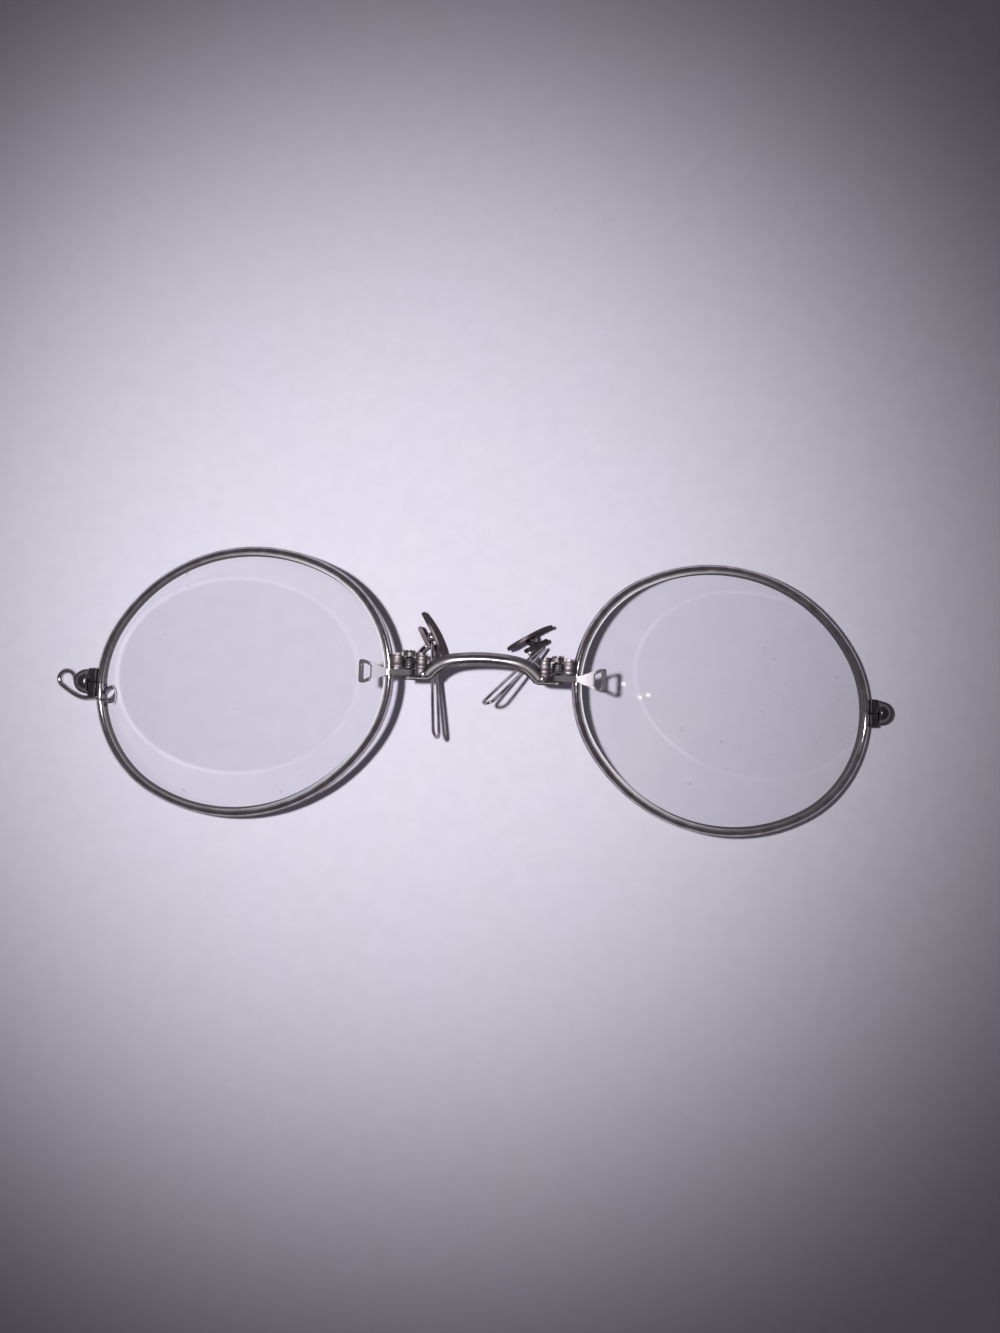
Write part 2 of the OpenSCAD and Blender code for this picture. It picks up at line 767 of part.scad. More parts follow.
function guard_point(side, p) =
    let (w = turn_2d(p.z, p.x, guard_twist(side)),
        u = turn_2d(p.y, w.x, -guard_tip(side)),
        v = turn_2d(w.y, u.x, -guard_lean(side)))
    guard_at(side) + [v.x, v.y, u.y];

// An oval plate bowed towards the nose, pierced by four slots, with two ears
module guard_pad(side) {
    ear_half = 0.5;
    color(dark_metal)
    in_guard(side)
        difference() {
            union() {
                difference() {
                    intersection() {
                        rotate([0, 90, 0])
                            linear_extrude(6, center = true)
                            pad_outline();
                        translate([pad_bow - pad_t / 2, 0, 0]) cylinder(h = 12, r = pad_bow, center = true, $fn = 120);
                    }
                    translate([pad_bow + pad_t / 2, 0, 0]) cylinder(h = 14, r = pad_bow, center = true, $fn = 120);
                }
                for (z = [-1, 1])
                    translate([0, 0, z * (ear_out - ear_t / 2)])
                        linear_extrude(ear_t, center = true) {
                            translate([0, -ear_half]) square([pin_out, 2 * ear_half]);
                            translate([pin_out, 0]) circle(ear_half * 0.8);
                        }
            }
            for (y = [-1, 1]) for (z = [-1, 1])
                translate([0, y * (slot_len / 2 + 0.6), z * pad_wid * 0.2])
                    rotate([0, 90, 0])
                    linear_extrude(4, center = true)
                    slot_outline();
            translate([pin_out, 0, 0])
                cylinder(h = through, d = pin_d + 2 * seat_gap, center = true, $fn = 24);
        }
}

module slot_outline() {
    run = slot_len - slot_w;
    square([slot_w, run], center = true);
    for (y = [-1, 1]) translate([0, y * run / 2]) circle(d = slot_w, $fn = 24);
}

// Round ends on straight sides
module pad_outline() {
    end_r = pad_wid / 2;
    square([pad_wid, pad_len - pad_wid], center = true);
    for (y = [-1, 1]) translate([0, y * (pad_len / 2 - end_r)]) circle(end_r);
}

module pad_pin(side) {
    head_t = 0.14;
    color(metal)
    in_guard(side)
        translate([pin_out, 0, 0]) {
            cylinder(h = 2 * ear_out + 0.1, d = pin_d, center = true, $fn = 24);
            for (z = [-1, 1])
                translate([0, 0, z * (ear_out + seat_gap + head_t / 2)])
                    cylinder(h = head_t, d = pin_d + 0.26, center = true, $fn = 24);
        }
}

// The bracket: a tongue on the pad's pin and a bar for the arm and the loop
module guard_bracket(side) {
    color(dark_metal)
    in_guard(side)
        difference() {
            union() {
                linear_extrude(tongue_t, center = true) {
                    translate([pin_out, 0]) circle(tongue_r);
                    translate([pin_out, -tongue_r]) square([bar_in - pin_out + 0.1, 2 * tongue_r]);
                }
                linear_extrude(bar_d, center = true)
                    translate([bar_mid, bar_up]) {
                        square([bar_t, bar_len - bar_t], center = true);
                        for (y = [-1, 1])
                            translate([0, y * (bar_len - bar_t) / 2]) circle(d = bar_t, $fn = 32);
                    }
            }
            translate([pin_out, 0, 0])
                cylinder(h = through, d = pin_d + 2 * run_gap, center = true, $fn = 24);
        }
}

// The loop: a round end and two long legs that draw together at the bracket
leg_run = loop_len - loop_half;
leg_turn = 2 * atan2(loop_half - loop_root, leg_run);
leg_r = leg_run / sin(leg_turn);

// The left loop touches the inner side of the bar near its foot, the right one the outer side
// higher up. Both stand a little before the middle of the bar.
loop_seat = 0.03;
loop_left_top = -0.95;
loop_right_top = 0.9;
loop_before = 0.3;

function loop_at(side) =
    let (reach = bar_t / 2 + loop_seat + loop_wire / 2
            + loop_root * cos(of_side(side, loop_left_turn, loop_right_turn)),
        foot = bar_up - (bar_len - bar_t) / 2)
    of_side(side,
        [bar_mid - (reach + (loop_left_top - foot) * sin(loop_left_out)) / cos(loop_left_out),
            loop_left_top, loop_before],
        [bar_mid + reach, loop_right_top, loop_before]);

module guard_loop(side) {
    color(metal)
    in_guard(side)
        translate(loop_at(side))
        rotate([0, 0, of_side(side, loop_left_out, loop_right_out)])
        rotate([-of_side(side, loop_left_forward, loop_right_forward), 0, 0])
        translate([0, -leg_run, 0])
        rotate([0, of_side(side, loop_left_turn, loop_right_turn), 0]) {
            arc_sweep(loop_half, 180, 360) circle(d = loop_wire, $fn = 20);
            for (x = [0, 1])
                mirror([x, 0, 0])
                translate([loop_half - leg_r, 0, 0])
                arc_sweep(leg_r, 0, leg_turn) circle(d = loop_wire, $fn = 20);
        }
}

// The arm leaves the back of the collar and bends up to the bracket
function bezier(p, t) = pow(1 - t, 3) * p[0] + 3 * pow(1 - t, 2) * t * p[1]
    + 3 * (1 - t) * t * t * p[2] + t * t * t * p[3];
arm_steps = 16;
// Straight length at each end of the arm, its drop from the collar and its run to the bar
arm_straight = 0.2;
arm_drop = 3.2;
arm_run = 1.6;
// Height of the arm's end above the foot of the bar, and how far behind its middle it lies
arm_seat = 0.6;
arm_back = 0.45;

function guard_arm_path(side) =
    let (start = [pivot_x, collar_y + collar_h / 2, pivot_z - collar_r - seat_gap],
        face = [bar_in + bar_t + seat_gap, bar_up - bar_len / 2 + arm_seat, -arm_back],
        off = [1, 0, 0],
        p = [start - [0, 0, arm_straight], start - [0, 0, arm_drop],
            guard_point(side, face + arm_run * off), guard_point(side, face + arm_straight * off)])
    concat([start], [for (i = [0:arm_steps]) bezier(p, i / arm_steps)], [guard_point(side, face)]);

module guard_arm(side) {
    color(metal)
    mirrored(side)
        wire(guard_arm_path(side), guard_arm_d, wire_sides, [1, 0, 0]);
}

// The cord hook, drawn on the right and mirrored: outer eye, sweep and small eye
function arc_points(c, r, from, to, z0, z1, n) =
    [for (i = [0:n]) let (a = from + (to - from) * i / n)
        [c.x + r * cos(a), c.y + r * sin(a), z0 + (z1 - z0) * i / n]];

hook_eye_at = [ball_x + 3.1, ball_y + 0.2];
hook_small_at = [ball_x - 3.2, ball_y - 1.5];
hook_rest = hook_r + 0.02;
// Heights of the hook's wire behind and before the rim wire
hook_behind = 0.94;
hook_before = 3.06;

function hook_path() =
    let (eye = arc_points(hook_eye_at, hook_eye_r, 200, -50, hook_rest, hook_rest, 20),
        leave = eye[20],
        low = [ball_x + 0.6, ball_y - ball_r - 0.65, 0.62],
        back = [ball_x - 1.6, ball_y - ball_r - 0.34, 0.74],
        small = [for (i = [0:16]) let (t = i / 16, a = 80 + 200 * t)
            [hook_small_at.x + hook_small_r * cos(a), hook_small_at.y + hook_small_r * sin(a),
                hook_behind + (hook_before - hook_behind) * t * t * (3 - 2 * t)]],
        first = [for (i = [1:8]) bezier([leave, leave + [-0.75, -0.63, 0], low + [0.8, 0, 0], low], i / 8)],
        second = [for (i = [1:6]) bezier([low, low + [-0.7, 0, 0], back + [0.6, -0.12, 0], back], i / 6)],
        third = [for (i = [1:5]) bezier([back, back + [-0.45, 0.3, 0.04],
            small[0] + [0.55, -0.1, 0], small[0]], i / 6)],
        over = [small[16] + [0.6, 0.1, 0], small[16] + [1.35, 0.3, 0]])
    concat(eye, first, second, third, small, over);

module cord_hook() {
    color(metal)
    mirrored(-1)
        wire(hook_path(), hook_wire, wire_sides, [0, 0, 1]);
}

bridge();
bridge_rivet(-1);  // bridge_rivet_left
bridge_rivet(1);  // bridge_rivet_right
rim(-1);  // rim_left
rim(1);  // rim_right
lens(-1);  // lens_left
lens(1);  // lens_right
closing_block(-1, 1);  // closing_block_upper_left
closing_block(1, 1);  // closing_block_upper_right
closing_block(-1, -1);  // closing_block_lower_left
closing_block(1, -1);  // closing_block_lower_right
closing_screw(-1);  // closing_screw_left
closing_screw(1);  // closing_screw_right
ball_end(-1);  // ball_end_left
ball_end(1);  // ball_end_right
hinge_block(-1);  // hinge_block_left
hinge_block(1);  // hinge_block_right
pivot_screw(-1);  // pivot_screw_left
pivot_screw(1);  // pivot_screw_right
lever_spring(-1);  // lever_spring_left
lever_spring(1);  // lever_spring_right
finger_lever(-1);  // finger_lever_left
finger_lever(1);  // finger_lever_right
guard_arm(-1);  // guard_arm_left
guard_arm(1);  // guard_arm_right
guard_bracket(-1);  // guard_bracket_left
guard_bracket(1);  // guard_bracket_right
guard_loop(-1);  // guard_loop_left
guard_loop(1);  // guard_loop_right
guard_pad(-1);  // guard_pad_left
guard_pad(1);  // guard_pad_right
pad_pin(-1);  // pad_pin_left
pad_pin(1);  // pad_pin_right
cord_hook();
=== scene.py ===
# %% [markdown]
# # Finger-piece pince-nez on white paper
#
# A pince-nez has no temples: two sprung finger levers press small guards against the nose. The
# photograph shows one lying on paper, lit by a phone's flash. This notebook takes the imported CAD
# model as a fixed frame, rebuilds its wires, springs, rims and lenses more finely, softens the
# edges of the small cast pieces, and gives each of them a worn nickel or glass finish. Lengths are
# written in millimetres and turned into metres where a mesh is placed.

# %% Load the frame
import json
import math
import bpy
import bmesh
from mathutils import Matrix, Vector


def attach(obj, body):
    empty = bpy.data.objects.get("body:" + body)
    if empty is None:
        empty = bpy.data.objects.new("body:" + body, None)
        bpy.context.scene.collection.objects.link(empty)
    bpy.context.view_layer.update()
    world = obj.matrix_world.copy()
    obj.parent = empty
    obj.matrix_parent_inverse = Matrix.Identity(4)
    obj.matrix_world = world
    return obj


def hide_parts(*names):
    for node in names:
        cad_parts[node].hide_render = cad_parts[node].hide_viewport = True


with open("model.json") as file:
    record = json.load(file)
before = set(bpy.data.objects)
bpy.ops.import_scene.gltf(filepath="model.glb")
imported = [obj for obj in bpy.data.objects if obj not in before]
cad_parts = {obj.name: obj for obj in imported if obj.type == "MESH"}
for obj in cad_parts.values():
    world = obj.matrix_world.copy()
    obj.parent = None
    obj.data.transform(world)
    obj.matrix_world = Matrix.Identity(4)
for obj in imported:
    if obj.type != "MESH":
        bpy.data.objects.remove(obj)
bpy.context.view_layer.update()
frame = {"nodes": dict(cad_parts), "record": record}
MM = 0.001
BODIES = frame["record"]["behaviour"]["bodies"]
BODY_OF = {node: body for body, nodes in BODIES.items() for node in nodes}
SLOT_OF = {row["node"]: row["material_slot"] for row in frame["record"]["subparts"]}
scene = bpy.context.scene
scene.view_settings.view_transform = "Standard"
print(len(BODY_OF), "CAD nodes on", sorted(BODIES))

# %% [markdown]
# ## Camera
#
# The photograph looks straight down on the table from 134 mm, as a phone does when it is held
# close. So near, the view spreads a lot: pieces that stand 10 mm high shift outwards and look
# larger. A lens fitted to the rims and the shadows gives the same spread. The camera is turned by
# 2.3 degrees, because the picture is a little off level.

# %% Camera over the table
CAMERA_AT, CAMERA_TURN = (2.04 * MM, 3.285 * MM, 133.6 * MM), 2.31
camera_data = bpy.data.cameras.new("table_camera")
camera_data.sensor_fit = "VERTICAL"
camera_data.sensor_height = 36
camera_data.lens = 27.06
camera_data.clip_start = 0.01
camera = bpy.data.objects.new("table_camera", camera_data)
camera.location = CAMERA_AT
camera.rotation_euler = (0, 0, math.radians(CAMERA_TURN))
scene.collection.objects.link(camera)
scene.camera = camera
print("camera height mm:", round(camera.location.z / MM, 1))

# %% [markdown]
# ## Flash and room
#
# The flash is a small lamp beside the lens, so shadows are crisp and fall to the right, and the
# paper grows darker towards the corners. A spot lamp with a wide soft cone gives the same fall. It
# leans by two degrees, because the bright middle of the paper isn't straight under it. The room is
# a world that is pale round the horizon and dark overhead: polished wire mirrors the dark ceiling,
# which gives it the dark lines of the photograph, while a side view still has a pale background.
# Only the eye, gloss and glass see that. What lights the shadows is dim and the same all round.

# %% Flash beside the lens
flash_data = bpy.data.lights.new("flash", "SPOT")
flash_data.energy = 0.675
flash_data.shadow_soft_size = 2.5 * MM
flash_data.spot_size = math.radians(82.8)
flash_data.spot_blend = 1.0
flash = bpy.data.objects.new("flash", flash_data)
flash.location = (-17.2 * MM, 8.4 * MM, 133.6 * MM)
flash.rotation_euler = (math.radians(-0.5), math.radians(-2.2), 0)
scene.collection.objects.link(flash)
print("flash stands", round((flash.location - camera.location).length / MM, 1), "mm from the lens")


# %% Helpers for nodes
def add_node(tree, kind, **values):
    """Adds a node, sets its properties and its input sockets by name."""
    node = tree.nodes.new(kind)
    for key, value in values.items():
        if hasattr(node, key):
            setattr(node, key, value)
        else:
            node.inputs[key.replace("_", " ")].default_value = value
    return node


def join(tree, *pairs):
    """Links pairs of sockets, the giving one first."""
    for giver, taker in pairs:
        tree.links.new(giver, taker)


def supply(tree, socket, value):
    """Gives a socket a value: another socket, a number or a colour."""
    if isinstance(value, bpy.types.NodeSocket):
        tree.links.new(value, socket)
    else:
        socket.default_value = (*value, 1) if isinstance(value, (tuple, list)) else value


def ramp(tree, source, stops):
    """A colour ramp on a value: stops are (place, colour or grey)."""
    node = tree.nodes.new("ShaderNodeValToRGB")
    steps = node.color_ramp.elements
    while len(steps) < len(stops):
        steps.new(0.5)
    for step, (place, colour) in zip(steps, stops):
        step.position = place
        step.color = (*colour, 1) if isinstance(colour, tuple) else (colour, colour, colour, 1)
    tree.links.new(source, node.inputs["Fac"])
    return node.outputs["Color"]


def mix(tree, amount, under, over, blend_type="MIX"):
    """Lays one colour over another, as much as the amount says."""
    node = add_node(tree, "ShaderNodeMix", data_type="RGBA", blend_type=blend_type)
    for index, value in ((0, amount), (6, under), (7, over)):
        supply(tree, node.inputs[index], value)
    return node.outputs[2]


# %% The room
PALE, PALE_TO, DIM_FROM = (0.72, 0.70, 0.75), 0.24, 0.4  # sines of the height over the horizon
world = bpy.data.worlds.new("room")
scene.world = world
world.use_nodes = True
room = world.node_tree
heading = add_node(room, "ShaderNodeTexCoord")
split = add_node(room, "ShaderNodeSeparateXYZ")
join(room, (heading.outputs["Generated"], split.inputs[0]))
sky = ramp(room, split.outputs["Z"],
           [(0.0, (0.74, 0.72, 0.77)), (PALE_TO, PALE), (DIM_FROM, (0.115, 0.106, 0.116)),
            (1.0, (0.108, 0.099, 0.109))])
rays = add_node(room, "ShaderNodeLightPath")
seen_or_felt = mix(room, rays.outputs["Is Diffuse Ray"], sky, (0.056, 0.053, 0.059))
join(room, (seen_or_felt, room.nodes["Background"].inputs["Color"]))
room.nodes["Background"].inputs["Strength"].default_value = 1.0
print("pale to", round(math.degrees(math.asin(PALE_TO))), "degrees over the horizon, dim from",
      round(math.degrees(math.asin(DIM_FROM))))

# %% [markdown]
# ## Nickel finishes
#
# The metal is old nickel alloy. It is still bright where fingers touch it, browner in patches, and
# covered with hair-fine marks. One function builds the finish, and its colours say how far it has
# tarnished. Broad noise sets the patches, fine noise the gloss, stretched noise the marks. Three
# attributes, from 0 to 1, say where a piece differs: wear lets the bare bright metal of filed edges
# through, tarnish darkens it, and satin takes its polish off. All patterns read object coordinates,
# so they stay on the piece. The edge tint keeps glancing reflections dim.

# %% Helpers for finishes
def new_material(name):
    """A material, its tree and its shader."""
    material = bpy.data.materials.new(name)
    material.use_nodes = True
    return material, material.node_tree, material.node_tree.nodes["Principled BSDF"]


def object_place(tree):
    return add_node(tree, "ShaderNodeTexCoord").outputs["Object"]


def marked(tree, name):
    """The amount of a piece's attribute, which is 0 on a piece without it."""
    return add_node(tree, "ShaderNodeAttribute", attribute_name=name).outputs["Fac"]


def noise(tree, place, scale, detail, **more):
    node = add_node(tree, "ShaderNodeTexNoise", Scale=scale, Detail=detail, **more)
    join(tree, (place, node.inputs["Vector"]))
    return node.outputs["Fac"]


def bump(tree, shader, height, strength, depth):
    node = add_node(tree, "ShaderNodeBump", Strength=strength, Distance=depth * MM)
    join(tree, (height, node.inputs["Height"]), (node.outputs["Normal"], shader.inputs["Normal"]))


# %% Nickel finish
BARE, DULL = 1.45, 0.2  # shares of the bright and of the brown colour
SATIN = (0.72, 0.72, 0.72)  # roughness
PATCHES, POLISH, HAIRS, HAIRS_DEEP = 700, 2600, 900, 0.012  # scales of the noises; depth in mm


def nickel_finish(name, bright, brown, gloss, matt, edge_tint):
    material, tree, shader = new_material(name)
    shader.inputs["Metallic"].default_value = 1
    shader.inputs["Specular Tint"].default_value = (edge_tint, edge_tint, edge_tint, 1)
    place = object_place(tree)
    colour = ramp(tree, noise(tree, place, PATCHES, 5), [(0.36, brown), (0.64, bright)])
    colour = mix(tree, marked(tree, "wear"), colour, [min(1, BARE * v) for v in bright])
    colour = mix(tree, marked(tree, "tarnish"), colour, [DULL * v for v in brown])
    polish = ramp(tree, noise(tree, place, POLISH, 6), [(0.3, gloss), (0.72, matt)])
    polish = mix(tree, marked(tree, "satin"), polish, SATIN)
    join(tree, (colour, shader.inputs["Base Color"]), (polish, shader.inputs["Roughness"]))
    stretch = add_node(tree, "ShaderNodeMapping", Scale=(1, 14, 3), Rotation=(0.3, 0.2, 0.6))
    join(tree, (place, stretch.inputs["Vector"]))
    bump(tree, shader, noise(tree, stretch.outputs["Vector"], HAIRS, 8), 0.35, HAIRS_DEEP)
    return material


# %% How bright and how rough each nickel is
FINISH = {
    "nickel": nickel_finish("worn_nickel", (0.6, 0.565, 0.6), (0.41, 0.366, 0.39),
                            0.06, 0.14, 0.35),
    "dark_nickel": nickel_finish("tarnished_nickel", (0.13, 0.112, 0.12), (0.07, 0.058, 0.063),
                                 0.32, 0.52, 0.3),
    "black_nickel": nickel_finish("blackened_nickel", (0.1, 0.083, 0.09), (0.062, 0.05, 0.055),
                                  0.42, 0.62, 0.3),
    "polished_black": nickel_finish("polished_black_nickel", (0.18, 0.165, 0.18),
                                    (0.13, 0.118, 0.13), 0.22, 0.3, 0.2)}
FINISH_OF = {"ball_end": "polished_black", "guard_pad": "black_nickel",
             "guard_bracket": "black_nickel"}
print("finishes:", sorted(FINISH))

# %% [markdown]
# ## Lens glass
#
# The lenses are clear glass with a little dust and one or two smears. Real glass throws light about
# in a way that would need a very long render, so shadow rays and rays that light the paper pass
# straight through, with a slight grey, and only what the eye sees is bent. The dust is a fine noise
# cut off near its top: there the glass is rough. Three painted highlights, white spots where the
# flash reflects, lie on the right lens. The edge's bevel is ground, so its front is white, and its
# back carries a painted dark reflection, a thin dark line where the rim is mirrored inside the
# glass. Two attributes say where.

# %% Helpers for places and values
def calculate(tree, operation, first, second):
    """A sum on two values, each of them a socket or a number."""
    node = add_node(tree, "ShaderNodeMath", operation=operation)
    supply(tree, node.inputs[0], first)
    supply(tree, node.inputs[1], second)
    return node.outputs[0]


def seen_from(tree, place, middle, radii, tilt=0):
    """A place as an oval sees it: from the oval's middle, with the oval's radii as 1."""
    oval = add_node(tree, "ShaderNodeMapping", vector_type="TEXTURE",
                    Location=(middle[0] * MM, middle[1] * MM, 0),
                    Rotation=(0, 0, math.radians(tilt)), Scale=(radii[0] * MM, radii[1] * MM, 1))
    join(tree, (place, oval.inputs["Vector"]))
    return oval.outputs["Vector"]


def distance(tree, vector):
    node = add_node(tree, "ShaderNodeVectorMath", operation="LENGTH")
    join(tree, (vector, node.inputs[0]))
    return node.outputs["Value"]


def mix_shaders(tree, amount, under, over):
    node = add_node(tree, "ShaderNodeMixShader")
    join(tree, *zip((amount, under, over), node.inputs))
    return node.outputs[0]


def surface(tree, shader_output):
    join(tree, (shader_output, tree.nodes["Material Output"].inputs["Surface"]))


# %% Clear lens glass
GLASS_IOR, DUST, SMEARS = 1.52, 1300, 110
# The last two shades paint light: white for the painted highlights, dark for the painted reflection
# of the rim in the bevel's back.
CLEAN, DUSTY, GROUND, GLINT_WHITE, DARK_REFLECTION = ((0.985, 0.985, 0.99), (0.72, 0.7, 0.69), (0.78, 0.76, 0.81),
                                      (1, 1, 1), (0.1, 0.09, 0.095))
# Places of the painted highlights on the right lens, where the flash reflects, and their radius.
GLINTS, GLINT_R = ((17.35, 1.75), (19.43, 0.17), (20.47, 0.52)), 0.31


def glints_at(tree, place):
    """1 on each painted highlight and 0 elsewhere."""
    glints = 0.0
    for middle in GLINTS:
        away = distance(tree, seen_from(tree, place, middle, (GLINT_R, GLINT_R)))
        glints = calculate(tree, "MAXIMUM", ramp(tree, away, [(0.6, 1.0), (1.0, 0.0)]), glints)
    return glints


def lens_glass():
    material, tree, shader = new_material("lens_glass")
    shader.inputs["Transmission Weight"].default_value = 1
    shader.inputs["IOR"].default_value = GLASS_IOR
    place = object_place(tree)
    dust = ramp(tree, noise(tree, place, DUST, 1.5), [(0.735, 0.0), (0.76, 1.0)])
    smears = ramp(tree, noise(tree, place, SMEARS, 3, Distortion=0.6), [(0.66, 0.0), (0.78, 0.07)])
    rough = calculate(tree, "MULTIPLY", calculate(tree, "MAXIMUM", dust, smears), 0.45)
    # The painted highlights and the bevel's painted dark reflection are opaque colour, not light.
    glints, grime = glints_at(tree, place), marked(tree, "grime")
    solid = calculate(tree, "MAXIMUM", marked(tree, "ground"), glints)
    colour = ramp(tree, dust, [(0.0, CLEAN), (1.0, DUSTY)])
    for amount, shade in ((solid, GROUND), (glints, GLINT_WHITE), (grime, DARK_REFLECTION)):
        colour = mix(tree, amount, colour, shade)
    clearness = calculate(tree, "SUBTRACT", 1, calculate(tree, "MAXIMUM", solid, grime))
    join(tree, (rough, shader.inputs["Roughness"]), (colour, shader.inputs["Base Color"]),
         (clearness, shader.inputs["Transmission Weight"]))
    paths = add_node(tree, "ShaderNodeLightPath")
    clear = add_node(tree, "ShaderNodeBsdfTransparent", Color=(0.93, 0.93, 0.945, 1))
    glass = shader.outputs["BSDF"]
    for ray in ("Is Diffuse Ray", "Is Shadow Ray"):
        glass = mix_shaders(tree, paths.outputs[ray], glass, clear.outputs[0])
    surface(tree, glass)
    return material


FINISH["glass"] = lens_glass()
print("glass IOR:", GLASS_IOR)

# %% [markdown]
# ## Seating a piece
#
# Each finer piece takes the place of one CAD node: it rides on the same body, so it moves with the
# same joint, and it carries the same finish. The object stays at the origin, and its place is in
# its mesh. Left pieces are mirrored right ones, unless the two were bent differently.

# %% Seat a piece in its node's place
SIDES = {"left": -1, "right": 1}
MIRROR_X = Matrix.Diagonal((-1, 1, 1, 1))
HERE = Matrix.Identity(4)


def new_object(name, mesh):
    obj = bpy.data.objects.new(name, mesh)
    scene.collection.objects.link(obj)
    return obj


def kind_and_side(node):
    """A node's kind, and -1 or 1 for its side, or 0 where its name gives none."""
    kind, _, side = node.rpartition("_")
    return kind, SIDES.get(side, 0)


def seat(piece, node):
    piece.data.materials.clear()
    piece.data.materials.append(FINISH[FINISH_OF.get(kind_and_side(node)[0], SLOT_OF[node])])
    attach(piece, BODY_OF[node])
    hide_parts(node)
    print(f"{node} is {piece.name}, {len(piece.data.polygons)} faces, on {BODY_OF[node]}")


def mirrored(obj, side):
    """Turns a mesh drawn for the right side into the left one, where the side is -1."""
    if side < 0:
        obj.data.transform(MIRROR_X)
        obj.data.flip_normals()
    return obj


def place(obj, matrix, side):
    """Moves a mesh drawn in millimetres to its place, on the right or mirrored."""
    obj.data.transform(Matrix.Scale(MM, 4) @ matrix)
    return mirrored(obj, side)


# %% Helpers for meshes
def drawn(name, points, lines=(), faces=()):
    mesh = bpy.data.meshes.new(name)
    mesh.from_pydata(points, lines, faces)
    return mesh


def opened(mesh):
    body = bmesh.new()
    body.from_mesh(mesh)
    return body


def keep(body, mesh):
    """Writes a bmesh into a mesh, and frees it."""
    body.to_mesh(mesh)
    body.free()
    return mesh


def smooth(mesh, sharp_from):
    mesh.shade_smooth()
    mesh.set_sharp_from_angle(angle=math.radians(sharp_from))
    return mesh


def plain_mesh(obj):
    """Turns what the modifiers make of an object into its own plain mesh."""
    graph = bpy.context.evaluated_depsgraph_get()
    made = bpy.data.meshes.new_from_object(obj.evaluated_get(graph))
    obj.modifiers.clear()
    old, obj.data = obj.data, made
    bpy.data.meshes.remove(old)
    return obj


def fades(x, stops):
    """A value from stops (place, value), with straight lines between them."""
    for (a, low), (b, high) in zip(stops, stops[1:]):
        if x <= b:
            return low + (high - low) * min(1, max(0, (x - a) / (b - a)))
    return stops[-1][1]


def mark(mesh, name, amounts):
    """Writes an attribute: amounts is a list, or a rule that takes a point in millimetres."""
    if callable(amounts):
        amounts = [amounts(v.co / MM) for v in mesh.vertices]
    mesh.attributes.new(name, "FLOAT", "POINT").data.foreach_set("value", amounts)


# %% [markdown]
# ## Where the rims and guards lie
#
# Every rebuilt piece needs the same turns as in the CAD source. The rim's plane is turned down by
# 15.3 degrees and slopes back by 12. Each guard leans out, tips and twists by its own angles,
# because the two were not bent alike.

# %% The rim's plane
END_R, OVAL_A, OVAL_B, DROOP, SLOPE = 14.4, 20.0, 16.5, 15.3, 12.0
END_X = OVAL_A - END_R
LONG_R = (END_X ** 2 + OVAL_B ** 2 - END_R ** 2) / (2 * (OVAL_B - END_R))
LONG_Y = LONG_R - OVAL_B
MEET = math.degrees(math.atan2(LONG_Y, END_X))
LENS_MIDDLE = Vector((30.85, 0, 6.15105))


def turn(angle, axis):
    return Matrix.Rotation(math.radians(angle), 4, axis)


RIM_PLACE = Matrix.Translation(LENS_MIDDLE) @ turn(SLOPE, "Y") @ turn(-DROOP, "Z")
print("arcs meet at", round(MEET, 2), "degrees, long arc radius", round(LONG_R, 2))

# %% The guards' places
GUARD = {"left": dict(at=(6.35, 7.15, 2.72096), lean=28, tip=5.5, twist=6,
                      loop=(0.857225, -0.95, 0.3), out=19, forward=24, turned=-76),
         "right": dict(at=(5.7, 7.4, 2.93809), lean=61, tip=25, twist=0,
                       loop=(2.22997, 0.9, 0.3), out=13, forward=16, turned=-70)}


def guard_place(side):
    g = GUARD[side]
    return (Matrix.Translation(g["at"]) @ turn(-g["lean"], "Z") @ turn(-g["tip"], "X")
            @ turn(g["twist"], "Y"))


for side in GUARD:
    print(side, "guard stands at", GUARD[side]["at"], "mm")

# %% [markdown]
# ## One tree for every bent wire
#
# Rims, loops, arms, hook and bridge are all wire, bent along a path. A Geometry Nodes tree says
# that once: it takes a path of joined points, a section drawn as another outline, and a finish, and
# runs the section along the path. The path's attribute girth narrows the wire at its ends, so that
# cut ends come out rounded instead of square.

# %% How every tree begins, ends and is used
def begin_tree(name, taken, kinds):
    """A tree that takes a geometry and inputs of other kinds, its first node and its inputs."""
    tree = bpy.data.node_groups.new(name, "GeometryNodeTree")
    inputs = {}
    for label, kind in {taken: "Geometry", **kinds}.items():
        socket = tree.interface.new_socket(label, in_out="INPUT", socket_type=f"NodeSocket{kind}")
        inputs[label] = socket.identifier
    return tree, add_node(tree, "NodeGroupInput"), inputs


def end_tree(tree, start, made, label):
    """Makes real geometry of what the tree made, gives it its finish and hands it out."""
    tree.interface.new_socket(label, in_out="OUTPUT", socket_type="NodeSocketGeometry")
    whole = add_node(tree, "GeometryNodeRealizeInstances")
    coat = add_node(tree, "GeometryNodeSetMaterial")
    join(tree, (made, whole.inputs[0]), (whole.outputs[0], coat.inputs[0]),
         (start.outputs["Finish"], coat.inputs["Material"]),
         (coat.outputs[0], add_node(tree, "NodeGroupOutput").inputs[0]))


def grow(obj, tree, inputs, **values):
    """Runs a tree on an object, and keeps what it makes as a plain mesh."""
    modifier = obj.modifiers.new("grow", "NODES")
    modifier.node_group = tree
    for label, value in values.items():
        modifier[inputs[label]] = value
    return plain_mesh(obj)


